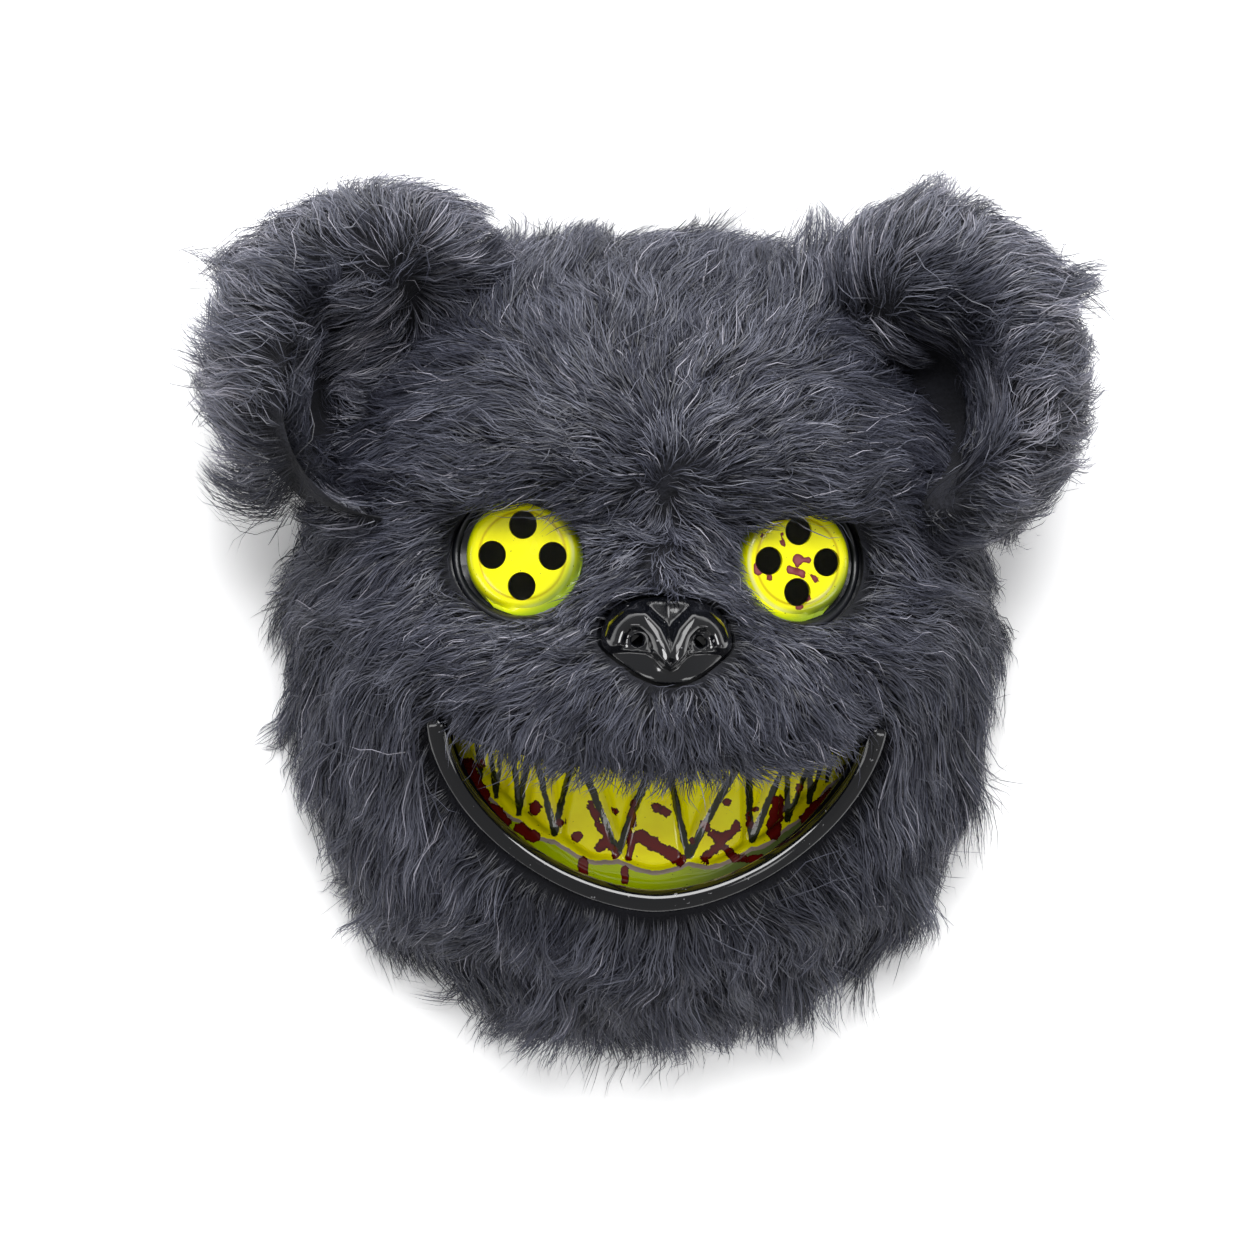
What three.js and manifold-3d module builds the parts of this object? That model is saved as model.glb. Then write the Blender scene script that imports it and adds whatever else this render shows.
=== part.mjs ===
// A furry bear mask that covers the face: a thin plastic shell, a long-haired plush cover with its
// locks, two cupped plush ears, two pierced eye lenses, a grinning tooth plate, a lip bead and a nose.
// Millimetres. The mask lies face up on its rim: +Z is out of the face and +Y is towards the crown.
import * as THREE from "three";
import { mergeVertices } from "three/addons/utils/BufferGeometryUtils.js";
import Module from "manifold-3d";

const wasm = await Module();
wasm.setup();

// Plastic face
const RIM_HALF_WIDTH = 88;
const RIM_TO_CROWN = 98;
const RIM_TO_CHIN = 104;
const DOME_DEPTH = 58;
const SHELL_WALL = 1.8;
const OUTLINE_POWER = 2.15; // 2 is an ellipse, more is squarer
const DOME_POWER = 2.3;

// Plush cover and its locks
const PELT_WALL = 3;
const FIT_GAP = 0.4;
const HEM_GAP = 0.6; // the cover's hem above the rim
const LOCK_LENGTH = 42;
const LOCK_WIDTH = 25;
const LOCK_THICKNESS = 6;
const LOCK_LIFT = 5.5;
const CHIN_LIFT = 7; // how much more the locks lift along the chin and jaw
const LOCK_SPACING = 33;

// Eyes
const EYE_OFFSET = 37.5;
const EYE_HEIGHT = 17;
const LENS_RADIUS = 15.8;
const LENS_STANDING = 10.5;
const LENS_WALL = 1.3;
const LENS_BEVEL = 3;
const LENS_TILT = 13; // degrees outwards
const SIGHT_HOLE_RADIUS = 3.7;
const SIGHT_HOLE_CIRCLE = 8.6;
const SIGHT_HOLES = 4;
const SOCKET_ROOM = 3.4; // from the lens's edge to the plush round it
const SOCKET_SHIFT = 1.6; // how far the plush opening lies outwards of the lens

// Mouth
const MOUTH_HEIGHT = -27;
const MOUTH_HALF_WIDTH = 60;
const MOUTH_DROP = 50;
const UPPER_LIP_DROP = 13;
const LIP_RADIUS = 3;
const TOOTH_PLATE_WALL = 1.6;
const TOOTH_PLATE_MARGIN = 3.5;
const TOOTH_RELIEF = 2.4;
const TOOTH_SET_BACK = 2.2; // from the inside of the shell to the teeth
const TEETH_ACROSS = 9;

// Nose
const NOSE_HEIGHT = -6;
const NOSE_HALF_WIDTH = 17.5;
const NOSE_HALF_HEIGHT = 11.5;
const NOSE_STANDING = 13;
const NOSTRIL_OFFSET = 9;
const NOSTRIL_RADIUS = 1.5;
const NOSE_EDGE = 1.6; // its trimmed edge above the face

// Ears
const EAR_OFFSET = 80;
const EAR_HEIGHT = 68;
const EAR_FOOT = 14; // the ear's back above the rim
const EAR_HALF_WIDTH = 39;
const EAR_HALF_HEIGHT = 45;
const EAR_DEPTH = 44;
const EAR_TILT = 12; // degrees, outer edge forwards
const EAR_LOCKS_AROUND = 6;

// Facets
const AROUND = 32;
const RINGS = 8;
const EAR_AROUND = 20;
const LENS_SIDES = 24;
const HOLE_SIDES = 12;

const DEGREE = Math.PI / 180;

// Rises and hollows of the face. Places and spreads across are shares of the rim's half width, places
// and spreads along are shares of the rim's reach to the crown, and the rise is a share of the dome.
const RELIEF = [
  { part: "muzzle", across: 0, along: -0.27, wide: 0.36, above: 0.24, below: 0.15, rise: 0.46 },
  { part: "bridge", across: 0, along: 0.02, wide: 0.15, above: 0.22, below: 0.26, rise: 0.16 },
  { part: "brow", across: 0.4, along: 0.43, wide: 0.34, above: 0.16, below: 0.08, rise: 0.2 },
  { part: "socket", across: 0.44, along: 0.16, wide: 0.2, above: 0.12, below: 0.14, rise: -0.2 },
  { part: "cheek", across: 0.66, along: -0.2, wide: 0.2, above: 0.2, below: 0.24, rise: 0.16 },
  { part: "grin", across: 0.66, along: -0.4, wide: 0.12, above: 0.14, below: 0.12, rise: -0.06 },
  { part: "chin", across: 0, along: -0.8, wide: 0.42, above: 0.12, below: 0.16, rise: 0.2 },
  { part: "forehead", across: 0, along: 0.66, wide: 0.5, above: 0.2, below: 0.26, rise: 0.12 },
  { part: "frown", across: 0, along: 0.33, wide: 0.07, above: 0.16, below: 0.1, rise: -0.1 },
];

// The ear's half section from the middle of its back, over its rolled edge, to the bottom of its cup.
// Reach is a share of the ear's half width and height, level is a share of its depth, roll says how
// much of the level goes where the ear meets the head, and cup how far the row follows the cup's middle.
const EAR_SECTION = [
  { reach: 0.45, level: 0.02, roll: 0, cup: 0 },
  { reach: 0.8, level: 0.12, roll: 0.3, cup: 0 },
  { reach: 0.96, level: 0.36, roll: 0.6, cup: 0 },
  { reach: 1.0, level: 0.64, roll: 0.8, cup: 0 },
  { reach: 0.93, level: 0.9, roll: 1, cup: 0 },
  { reach: 0.76, level: 1.0, roll: 1, cup: 0.3 },
  { reach: 0.55, level: 0.9, roll: 1, cup: 0.8 },
  { reach: 0.42, level: 0.55, roll: 1, cup: 1 },
  { reach: 0.3, level: 0.28, roll: 0.6, cup: 1 },
];

// Each ear's cup: its middle as shares of the ear's half width (outwards) and half height, and its
// height and width as shares of the section's. The right ear's top is folded down over its cup.
const EARS = [
  { word: "left", side: -1, seed: 43, across: 0.14, along: -0.14, tall: 1.15, wide: 0.85 },
  { word: "right", side: 1, seed: 21, across: -0.02, along: -0.38, tall: 0.85, wide: 0.8 },
];

// The tooth plate from the upper to the lower lip. Along is a share of the grin's drop, counted from the
// seam between the teeth where follow is 1, and rise is a share of the teeth's relief. The edge rows
// reach the shell.
const TOOTH_ROWS = [
  { along: 0, follow: 0, rise: 1, edge: 1 },
  { along: 0.06, follow: 0, rise: 1, edge: 0 },
  { along: -0.1, follow: 1, rise: 1, edge: 0 },
  { along: 0, follow: 1, rise: 0, edge: 0 },
  { along: 0.1, follow: 1, rise: 1, edge: 0 },
  { along: 0.87, follow: 0, rise: 0.3, edge: 0 },
  { along: 0.95, follow: 0, rise: 0.2, edge: 0 },
  { along: 1, follow: 0, rise: 0.2, edge: 1 },
];

// A closed mesh as a solid.
function solidOf(geometry) {
  const bare = geometry.clone();
  bare.deleteAttribute("normal");
  bare.deleteAttribute("uv");
  const merged = mergeVertices(bare, 1e-4);
  return new wasm.Manifold(
    new wasm.Mesh({
      numProp: 3,
      vertProperties: new Float32Array(merged.attributes.position.array),
      triVerts: new Uint32Array(merged.index.array),
    }),
  );
}

// A solid as a mesh's geometry.
function geometryOf(solid) {
  const { vertProperties, triVerts, numProp } = solid.getMesh();
  const places = new Float32Array((vertProperties.length / numProp) * 3);
  for (let i = 0; i < places.length / 3; i++) {
    places.set(vertProperties.subarray(i * numProp, i * numProp + 3), i * 3);
  }
  const geometry = new THREE.BufferGeometry();
  geometry.setAttribute("position", new THREE.BufferAttribute(places, 3));
  geometry.setIndex(new THREE.BufferAttribute(new Uint32Array(triVerts), 1));
  geometry.computeVertexNormals();
  return geometry;
}

// The largest body of a solid, without what a cut left loose or sealed in.
function largestBody(solid) {
  const bodies = solidOf(geometryOf(solid)).decompose();
  return bodies.reduce((best, body) => (body.volume() > best.volume() ? body : best));
}

function meshGeometry(points, faces) {
  const geometry = new THREE.BufferGeometry();
  geometry.setAttribute(
    "position",
    new THREE.Float32BufferAttribute(points.flatMap((p) => [p.x, p.y, p.z]), 3),
  );
  geometry.setIndex(faces.flat());
  return geometry;
}

// A closed surface from a first pole, over rings of equally many points, to a last pole.
function surfaceOfRings(firstPole, rings, lastPole) {
  const around = rings[0].length;
  const points = [firstPole, ...rings.flat(), lastPole];
  const last = points.length - 1;
  const faces = [];
  for (let i = 0; i < around; i++) {
    const j = (i + 1) % around;
    faces.push([0, 1 + i, 1 + j]);
    for (let r = 0; r + 1 < rings.length; r++) {
      const here = 1 + r * around;
      const next = here + around;
      faces.push([here + i, next + i, next + j]);
      faces.push([here + i, next + j, here + j]);
    }
    const end = last - around;
    faces.push([end + i, last, end + j]);
  }
  return meshGeometry(points, faces);
}

// A closed slab between a front and a back face, each given at shares across and along.
function slab(front, back, across, along) {
  const row = along + 1;
  const count = (across + 1) * row;
  const points = [];
  for (const face of [front, back]) {
    for (let i = 0; i <= across; i++) {
      for (let j = 0; j <= along; j++) points.push(face(i / across, j / along));
    }
  }
  const faces = [];
  for (let i = 0; i < across; i++) {
    for (let j = 0; j < along; j++) {
      const a = i * row + j;
      faces.push([a, a + row, a + row + 1], [a, a + row + 1, a + 1]);
      faces.push([count + a, count + a + row + 1, count + a + row]);
      faces.push([count + a, count + a + 1, count + a + row + 1]);
    }
  }
  const wall = (a, b) => faces.push([a, count + a, count + b], [a, count + b, b]);
  for (let i = 0; i < across; i++) {
    wall(i * row, (i + 1) * row);
    wall((i + 1) * row + along, i * row + along);
  }
  for (let j = 0; j < along; j++) {
    wall(j + 1, j);
    wall(across * row + j, across * row + j + 1);
  }
  return meshGeometry(points, faces);
}

const outlineReach = (y) => (y > 0 ? RIM_TO_CROWN : RIM_TO_CHIN);

// Distance from the middle as a share of the way to the rim, raised to the outline's power.
function outlineShare(x, y) {
  const across = Math.abs(x) / RIM_HALF_WIDTH;
  const along = Math.abs(y) / outlineReach(y);
  return (across ** OUTLINE_POWER + along ** OUTLINE_POWER) ** (1 / OUTLINE_POWER);
}

// How far the face rises above the plain dome. It fades out at the rim, which stays flat.
function relief(x, y) {
  const fade = Math.max(0, 1 - outlineShare(x, y) ** 6);
  let rise = 0;
  for (const row of RELIEF) {
    for (const side of row.across ? [1, -1] : [1]) {
      const across = (x / RIM_HALF_WIDTH - side * row.across) / row.wide;
      const off = y / RIM_TO_CROWN - row.along;
      const along = off / (off > 0 ? row.above : row.below);
      rise += row.rise * DOME_DEPTH * Math.exp(-0.5 * (across ** 2 + along ** 2));
    }
  }
  return rise * fade;
}

// The shell's outer surface as a height over the rim's plane.
function faceHeight(x, y) {
  const share = Math.min(1, outlineShare(x, y));
  return DOME_DEPTH * (1 - share ** DOME_POWER) ** (1 / DOME_POWER) + relief(x, y);
}

// A field that is 0 on the shell's outer surface and grows outwards.
function faceField({ x, y, z }) {
  const level = Math.max(0, z - relief(x, y)) / DOME_DEPTH;
  return outlineShare(x, y) ** DOME_POWER + level ** DOME_POWER - 1;
}

// The slope of that field, level at the rim.
function faceSlope(point) {
  const step = 0.5;
  const along = (axis) => {
    const ahead = point.clone();
    const behind = point.clone();
    ahead[axis] += step;
    behind[axis] -= step;
    return (faceField(ahead) - faceField(behind)) / (2 * step);
  };
  return new THREE.Vector3(along("x"), along("y"), point.z < step ? 0 : along("z"));
}

const faceNormal = (point) => faceSlope(point).normalize();

// The nearby point of the shell's outer surface.
function ontoFace(point) {
  const moved = point.clone();
  for (let round = 0; round < 6; round++) {
    moved.z = Math.max(moved.z, 0);
    const slope = faceSlope(moved);
    moved.addScaledVector(slope, -faceField(moved) / Math.max(slope.lengthSq(), 1e-6));
  }
  moved.z = Math.max(moved.z, 0);
  return moved;
}

// A point of the face: turn goes round it from +X, climb goes from the rim (0) to the middle (1).
function facePoint(turn, climb, offset) {
  const angle = (climb * Math.PI) / 2;
  const share = climb === 1 ? 0 : Math.cos(angle) ** (2 / DOME_POWER);
  const bend = (value) => Math.sign(value) * Math.abs(value) ** (2 / OUTLINE_POWER);
  const y = bend(Math.sin(turn)) * share;
  const point = new THREE.Vector3(
    bend(Math.cos(turn)) * share * RIM_HALF_WIDTH,
    y * outlineReach(y),
    0,
  );
  point.z = climb === 0 ? 0 : faceHeight(point.x, point.y);
  return point.add(faceNormal(point).multiplyScalar(offset));
}

// All the space below a level.
function belowLevel(level) {
  const size = 4 * (RIM_HALF_WIDTH + RIM_TO_CROWN);
  return solidOf(new THREE.BoxGeometry(size, size, size).translate(0, 0, level - size / 2));
}

// The face between two offsets from the shell's outer surface, standing on a level above the rim.
function faceLayer(outer, inner, foot) {
  const ring = (climb, offset) =>
    Array.from({ length: AROUND }, (_, i) => {
      const point = facePoint((i / AROUND) * 2 * Math.PI, climb, offset);
      point.z = Math.max(point.z, 0);
      return point;
    });
  const climbs = Array.from({ length: RINGS }, (_, i) => (i / RINGS) ** 0.9);
  const rings = [
    ...climbs.toReversed().map((climb) => ring(climb, outer)),
    ...(inner === null ? [] : climbs.map((climb) => ring(climb, inner))),
  ];
  const lastPole =
    inner === null ? new THREE.Vector3(0, 0, 0) : facePoint(0, 1, inner);
  const layer = solidOf(surfaceOfRings(facePoint(0, 1, outer), rings, lastPole));
  return foot ? layer.subtract(belowLevel(foot)) : layer;
}

// A closed prism along Z of an outline, tall enough to cut right through the face.
function cutter(shape, sides) {
  const tall = 4 * DOME_DEPTH;
  const options = { depth: tall, bevelEnabled: false, curveSegments: sides };
  return solidOf(new THREE.ExtrudeGeometry(shape, options).translate(0, 0, -tall / 4));
}

// The grin, a crescent between two half ellipses that share their ends, grown by a margin.
function mouthOutline(marginBelow, marginAbove) {
  const shape = new THREE.Shape();
  const half = MOUTH_HALF_WIDTH + marginBelow;
  const top = MOUTH_HEIGHT + marginAbove;
  shape.moveTo(-half, top);
  shape.absellipse(0, top, half, MOUTH_DROP + marginBelow + marginAbove, Math.PI, 2 * Math.PI, false);
  shape.absellipse(0, top, half, UPPER_LIP_DROP, 0, Math.PI, true);
  return shape;
}

function ovalOutline(x, y, halfWidth, halfHeight) {
  return new THREE.Shape().absellipse(x, y, halfWidth, halfHeight, 0, 2 * Math.PI, false);
}

// A place on the nose for a place in a square from -1 to 1 both ways, its corners drawn in.
function noseSpot(u, v, margin) {
  const square = Math.max(Math.abs(u), Math.abs(v));
  const shrink = square > 0 ? square / Math.hypot(u, v) : 1;
  const soft = THREE.MathUtils.lerp(1, shrink, 0.8);
  return new THREE.Vector2(
    u * soft * (NOSE_HALF_WIDTH + margin),
    v * soft * (NOSE_HALF_HEIGHT + margin),
  );
}

// The nose's outline, grown by a margin.
function noseOutline(margin) {
  const sides = 16;
  const points = Array.from({ length: sides }, (_, i) => {
    const turn = (i / sides) * 2 * Math.PI;
    const square = Math.max(Math.abs(Math.cos(turn)), Math.abs(Math.sin(turn)));
    const spot = noseSpot(Math.cos(turn) / square, Math.sin(turn) / square, margin);
    return spot.add(new THREE.Vector2(0, NOSE_HEIGHT));
  });
  return new THREE.Shape(points);
}

// A small repeatable random number source.
function randomSource(seed) {
  let state = seed;
  return () => {
    state = (state * 1664525 + 1013904223) % 4294967296;
    return state / 4294967296;
  };
}

// One tapering lock of fur: three-sided, rooted under its carrier's skin, its tip lifted off it. Each
// station is a place on the skin with the normal there, from the root to the tip.
function lock(stations, { width, thickness, lift }) {
  const [root, middle, tip] = stations;
  const along = tip.place.clone().sub(root.place).normalize();
  const section = ({ place, normal }, spread, high) => {
    const side = new THREE.Vector3().crossVectors(normal, along).normalize();
    const sunk = place.clone().addScaledVector(normal, -0.8 * PELT_WALL);
    return [
      sunk.clone().addScaledVector(side, -spread * width),
      sunk.clone().addScaledVector(side, spread * width),
      place.clone().addScaledVector(normal, high),
    ];
  };
  const points = [
    ...section(root, 0.36, 0.4 * thickness),
    ...section(middle, 0.5, thickness),
    tip.place.clone().addScaledVector(tip.normal, lift),
  ];
  const faces = [[0, 2, 1]];
  for (let i = 0; i < 3; i++) {
    const j = (i + 1) % 3;
    faces.push([i, j, 3 + j], [i, 3 + j, 3 + i], [3 + i, 3 + j, 6]);
  }
  return meshGeometry(points, faces);
}

// Which way the fur lies: away from the frown, over the surface.
function furDirection(point, normal, swerve) {
  const away = new THREE.Vector3(point.x, point.y - 0.14 * RIM_TO_CROWN, -0.4 * point.z);
  const flat = away.addScaledVector(normal, -away.dot(normal)).normalize();
  return flat.applyAxisAngle(normal, swerve);
}

const lensCentre = (side) => new THREE.Vector3(side * EYE_OFFSET, EYE_HEIGHT, 0);

// The plush cover: a pelt over the whole shell with rows of locks, open at the eyes, nose and mouth.
function plushCover() {
  const inner = FIT_GAP;
  const outer = FIT_GAP + PELT_WALL;
  const random = randomSource(7);
  const locks = [];
  const rows = Math.round((RIM_HALF_WIDTH + DOME_DEPTH) / LOCK_SPACING);
  for (let row = 0; row < rows; row++) {
    const climb = (row + 0.6) / rows;
    const round = 2 * Math.PI * RIM_HALF_WIDTH * Math.cos((climb * Math.PI) / 2);
    const count = Math.max(3, Math.round(round / LOCK_SPACING));
    for (let i = 0; i < count; i++) {
      const turn = ((i + 0.5 * (row % 2) + 0.3 * (random() - 0.5)) / count) * 2 * Math.PI;
      const grown = 0.8 + 0.4 * random();
      const swerve = 0.7 * (random() - 0.5);
      const stations = [];
      let foot = facePoint(turn, climb, 0);
      for (let step = 0; step < 3; step++) {
        const normal = faceNormal(foot);
        stations.push({ place: foot.clone().addScaledVector(normal, outer), normal });
        const along = furDirection(foot, normal, swerve);
        foot = ontoFace(foot.addScaledVector(along, 0.5 * LOCK_LENGTH * grown));
      }
      const chin = THREE.MathUtils.smoothstep(-stations[0].place.y / RIM_TO_CHIN, 0.2, 0.9);
      const size = {
        width: LOCK_WIDTH * grown,
        thickness: LOCK_THICKNESS,
        lift: LOCK_THICKNESS + (LOCK_LIFT + CHIN_LIFT * chin) * grown,
      };
      locks.push(solidOf(lock(stations, size)));
    }
  }
  const hollow = faceLayer(inner, null, 0);
  const cuts = [
    hollow,
    cutter(mouthOutline(1.4 * LIP_RADIUS + 2 * FIT_GAP, 0), 8),
    lipBead(LIP_RADIUS + 2 * FIT_GAP),
    cutter(noseOutline(1), 1),
    ...[1, -1].map((side) => {
      const { x, y } = lensCentre(side);
      const socket = LENS_RADIUS + SOCKET_ROOM;
      return cutter(ovalOutline(x + side * SOCKET_SHIFT, y, socket + 1, socket), 10);
    }),
    ...EARS.map((ear) => earBody(ear, 1.5 * FIT_GAP, outer)),
    belowLevel(HEM_GAP),
  ];
  const grown = wasm.Manifold.union([faceLayer(outer, inner, 0), ...locks]);
  return largestBody(grown.subtract(wasm.Manifold.union(cuts)));
}

// Moves each vertex of a closed mesh outwards, to leave a running gap round it.
function inflated(geometry, offset) {
  const grown = mergeVertices(geometry, 1e-4);
  grown.computeVertexNormals();
  const { position, normal } = grown.attributes;
  const point = new THREE.Vector3();
  const outwards = new THREE.Vector3();
  for (let i = 0; i < position.count; i++) {
    point.fromBufferAttribute(position, i);
    outwards.fromBufferAttribute(normal, i);
    point.addScaledVector(outwards, offset);
    position.setXYZ(i, point.x, point.y, point.z);
  }
  return grown;
}

// Puts a shape made round the ear's middle in its place at the side of the head.
function placedEar(geometry, side) {
  return geometry
    .rotateY(-side * EAR_TILT * DEGREE)
    .translate(side * EAR_OFFSET, EAR_HEIGHT, EAR_FOOT);
}

// The ear without locks, grown by an offset and cut off at an offset from the shell's outer surface.
function earBody(ear, offset, seat) {
  // 1 round the outer side of the ear and 0 where it joins the head.
  const openness = (turn) => {
    const outwards = ear.side * Math.cos(turn) * 0.85 + Math.sin(turn) * 0.2;
    return THREE.MathUtils.smoothstep(outwards, -0.75, 0.1);
  };
  const rings = EAR_SECTION.map((row) =>
    Array.from({ length: EAR_AROUND }, (_, i) => {
      const turn = (i / EAR_AROUND) * 2 * Math.PI;
      const sink = 1 - row.roll * 0.75 * (1 - openness(turn));
      const wide = THREE.MathUtils.lerp(1, ear.wide, row.cup);
      const tall = THREE.MathUtils.lerp(1, ear.tall, row.cup);
      return new THREE.Vector3(
        (Math.cos(turn) * row.reach * wide + ear.side * ear.across * row.cup) * EAR_HALF_WIDTH,
        (Math.sin(turn) * row.reach * tall + ear.along * row.cup) * EAR_HALF_HEIGHT,
        row.level * sink * EAR_DEPTH,
      );
    }),
  );
  const back = new THREE.Vector3(0, 0, 0);
  const cup = new THREE.Vector3(
    ear.side * ear.across * EAR_HALF_WIDTH,
    ear.along * EAR_HALF_HEIGHT,
    0.2 * EAR_DEPTH,
  );
  const geometry = inflated(surfaceOfRings(cup, rings.toReversed(), back), offset);
  return solidOf(placedEar(geometry, ear.side)).subtract(faceLayer(seat, null, 0));
}

// The space inside an ear's cup, kept clear of locks.
function earCup(ear) {
  const geometry = new THREE.CylinderGeometry(1, 0.7, EAR_DEPTH, 12);
  geometry.rotateX(Math.PI / 2);
  geometry.scale(0.46 * ear.wide * EAR_HALF_WIDTH, 0.46 * ear.tall * EAR_HALF_HEIGHT, 1);
  geometry.translate(
    ear.side * ear.across * EAR_HALF_WIDTH,
    ear.along * EAR_HALF_HEIGHT,
    0.9 * EAR_DEPTH,
  );
  return solidOf(placedEar(geometry, ear.side));
}

// A plush ear with its locks, seated against the cover.
function plushEar(ear) {
  const { side } = ear;
  const random = randomSource(ear.seed);
  const rows = [
    { reach: 0.86, level: 0.2, face: -0.6 },
    { reach: 1.0, level: 0.6, face: 0 },
    { reach: 0.76, level: 0.99, face: 1 },
  ];
  const locks = rows.flatMap((row, index) =>
    Array.from({ length: EAR_LOCKS_AROUND }, (_, i) => {
      const share = (i + 0.5 * (index % 2)) / EAR_LOCKS_AROUND;
      const turn = (side > 0 ? 0 : Math.PI) + side * (share - 0.42) * 1.25 * Math.PI;
      const outwards = new THREE.Vector3(Math.cos(turn), Math.sin(turn), 0);
      const normal = outwards.clone().setZ(row.face).normalize();
      const root = new THREE.Vector3(
        outwards.x * row.reach * EAR_HALF_WIDTH,
        outwards.y * row.reach * EAR_HALF_HEIGHT,
        row.level * EAR_DEPTH,
      );
      const lean = new THREE.Vector3(0.5 * outwards.x, 0.5 * outwards.y - 0.35, -0.5);
      const along = lean
        .addScaledVector(normal, -lean.dot(normal))
        .normalize()
        .applyAxisAngle(normal, 0.6 * (random() - 0.5));
      const grown = 0.6 + 0.3 * random();
      const stations = [0, 0.5, 1].map((step) => ({
        place: root.clone().addScaledVector(along, step * LOCK_LENGTH * grown),
        normal,
      }));
      const size = {
        width: LOCK_WIDTH * grown,
        thickness: LOCK_THICKNESS * 0.8,
        lift: LOCK_LIFT * grown,
      };
      return solidOf(placedEar(lock(stations, size), side));
    }),
  );
  const clear = faceLayer(LOCK_THICKNESS + LOCK_LIFT + PELT_WALL, null, 0);
  const fringe = wasm.Manifold.union(locks).subtract(clear).subtract(earCup(ear));
  const body = earBody(ear, 0, 2 * FIT_GAP + PELT_WALL);
  return largestBody(body.add(fringe).subtract(belowLevel(HEM_GAP)));
}

// The thin plastic face with its eye holes and mouth hole.
function plasticShell() {
  const cuts = [
    cutter(mouthOutline(-0.5 * LIP_RADIUS, 1.5 * LIP_RADIUS), 8),
    ...[1, -1].map((side) => {
      const { x, y } = lensCentre(side);
      const radius = LENS_RADIUS - 2 * LENS_WALL;
      return cutter(ovalOutline(x, y, radius, radius), 8);
    }),
  ];
  return faceLayer(0, -SHELL_WALL, 0).subtract(wasm.Manifold.union(cuts));
}

// A pierced lens: a bevelled cup whose skirt lands on the shell all round.
function eyeLens(side) {
  const { x, y } = lensCentre(side);
  const skirt = 3 * LENS_STANDING;
  const profile = [
    [0, 0],
    [LENS_RADIUS - LENS_BEVEL, -0.12 * LENS_BEVEL],
    [LENS_RADIUS - 0.3 * LENS_BEVEL, -0.5 * LENS_BEVEL],
    [LENS_RADIUS, -1.3 * LENS_BEVEL],
    [LENS_RADIUS + 0.5 * LENS_WALL, -skirt],
    [LENS_RADIUS - 0.5 * LENS_WALL, -skirt],
    [LENS_RADIUS - LENS_WALL, -1.3 * LENS_BEVEL - LENS_WALL],
    [LENS_RADIUS - LENS_BEVEL, -0.12 * LENS_BEVEL - LENS_WALL],
    [0, -LENS_WALL],
  ].map(([radius, level]) => new THREE.Vector2(radius, level));
  const cup = new THREE.LatheGeometry(profile.toReversed(), LENS_SIDES).rotateX(Math.PI / 2);
  let lens = solidOf(cup);
  for (let i = 0; i < SIGHT_HOLES; i++) {
    const turn = (i / SIGHT_HOLES) * 2 * Math.PI;
    const hole = new THREE.CylinderGeometry(
      SIGHT_HOLE_RADIUS,
      SIGHT_HOLE_RADIUS,
      4 * LENS_BEVEL,
      HOLE_SIDES,
    )
      .rotateX(Math.PI / 2)
      .translate(SIGHT_HOLE_CIRCLE * Math.cos(turn), SIGHT_HOLE_CIRCLE * Math.sin(turn), 0);
    lens = lens.subtract(solidOf(hole));
  }
  const placed = geometryOf(lens)
    .rotateY(side * LENS_TILT * DEGREE)
    .translate(x, y, faceHeight(x, y) + LENS_STANDING);
  const solid = solidOf(placed).subtract(faceLayer(FIT_GAP, null, 0));
  return largestBody(solid);
}

// A point of the grin: across runs from corner to corner, along from the upper to the lower edge.
function mouthPoint(across, along, margin) {
  const turn = (across * 2 - 1) * (Math.PI / 2) * 0.97;
  const drop = Math.cos(turn);
  const upper = UPPER_LIP_DROP * drop - margin;
  const lower = MOUTH_DROP * drop + margin;
  return new THREE.Vector2(
    Math.sin(turn) * (MOUTH_HALF_WIDTH + margin),
    MOUTH_HEIGHT - THREE.MathUtils.lerp(upper, lower, along),
  );
}

// The zigzag line where the upper and lower teeth meet, as a share of the grin's drop.
function toothSeam(across) {
  const saw = Math.abs((((across * TEETH_ACROSS) % 1) + 1) % 1 - 0.5) * 2;
  return 0.24 + 0.5 * saw;
}

// The tooth plate, a thin curved sheet behind the mouth hole with its teeth raised on it. Its edge
// stands up against the inside of the shell all round.
function toothPlate() {
  const columns = 2 * TEETH_ACROSS;
  const rows = TOOTH_ROWS.length - 1;
  const deep = SHELL_WALL + TOOTH_SET_BACK + TOOTH_RELIEF;
  const seated = (across, along, depth) => {
    const { x, y } = mouthPoint(across, along, TOOTH_PLATE_MARGIN);
    const place = new THREE.Vector3(x, y, faceHeight(x, y));
    return place.addScaledVector(faceNormal(place), -depth);
  };
  const place = (across, up, back) => {
    const row = TOOTH_ROWS[Math.round((1 - up) * rows)];
    const along = row.along + row.follow * toothSeam(across);
    const edge = row.edge === 1 || across === 0 || across === 1;
    const raised = edge ? deep : row.rise * TOOTH_RELIEF;
    return seated(across, along, back ? deep + TOOTH_PLATE_WALL : deep - raised);
  };
  const front = (across, up) => place(across, up, false);
  const back = (across, up) => place(across, up, true);
  const plate = solidOf(slab(front, back, columns, rows));
  return largestBody(plate.subtract(faceLayer(DOME_DEPTH, -SHELL_WALL - FIT_GAP, 0)));
}

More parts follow.
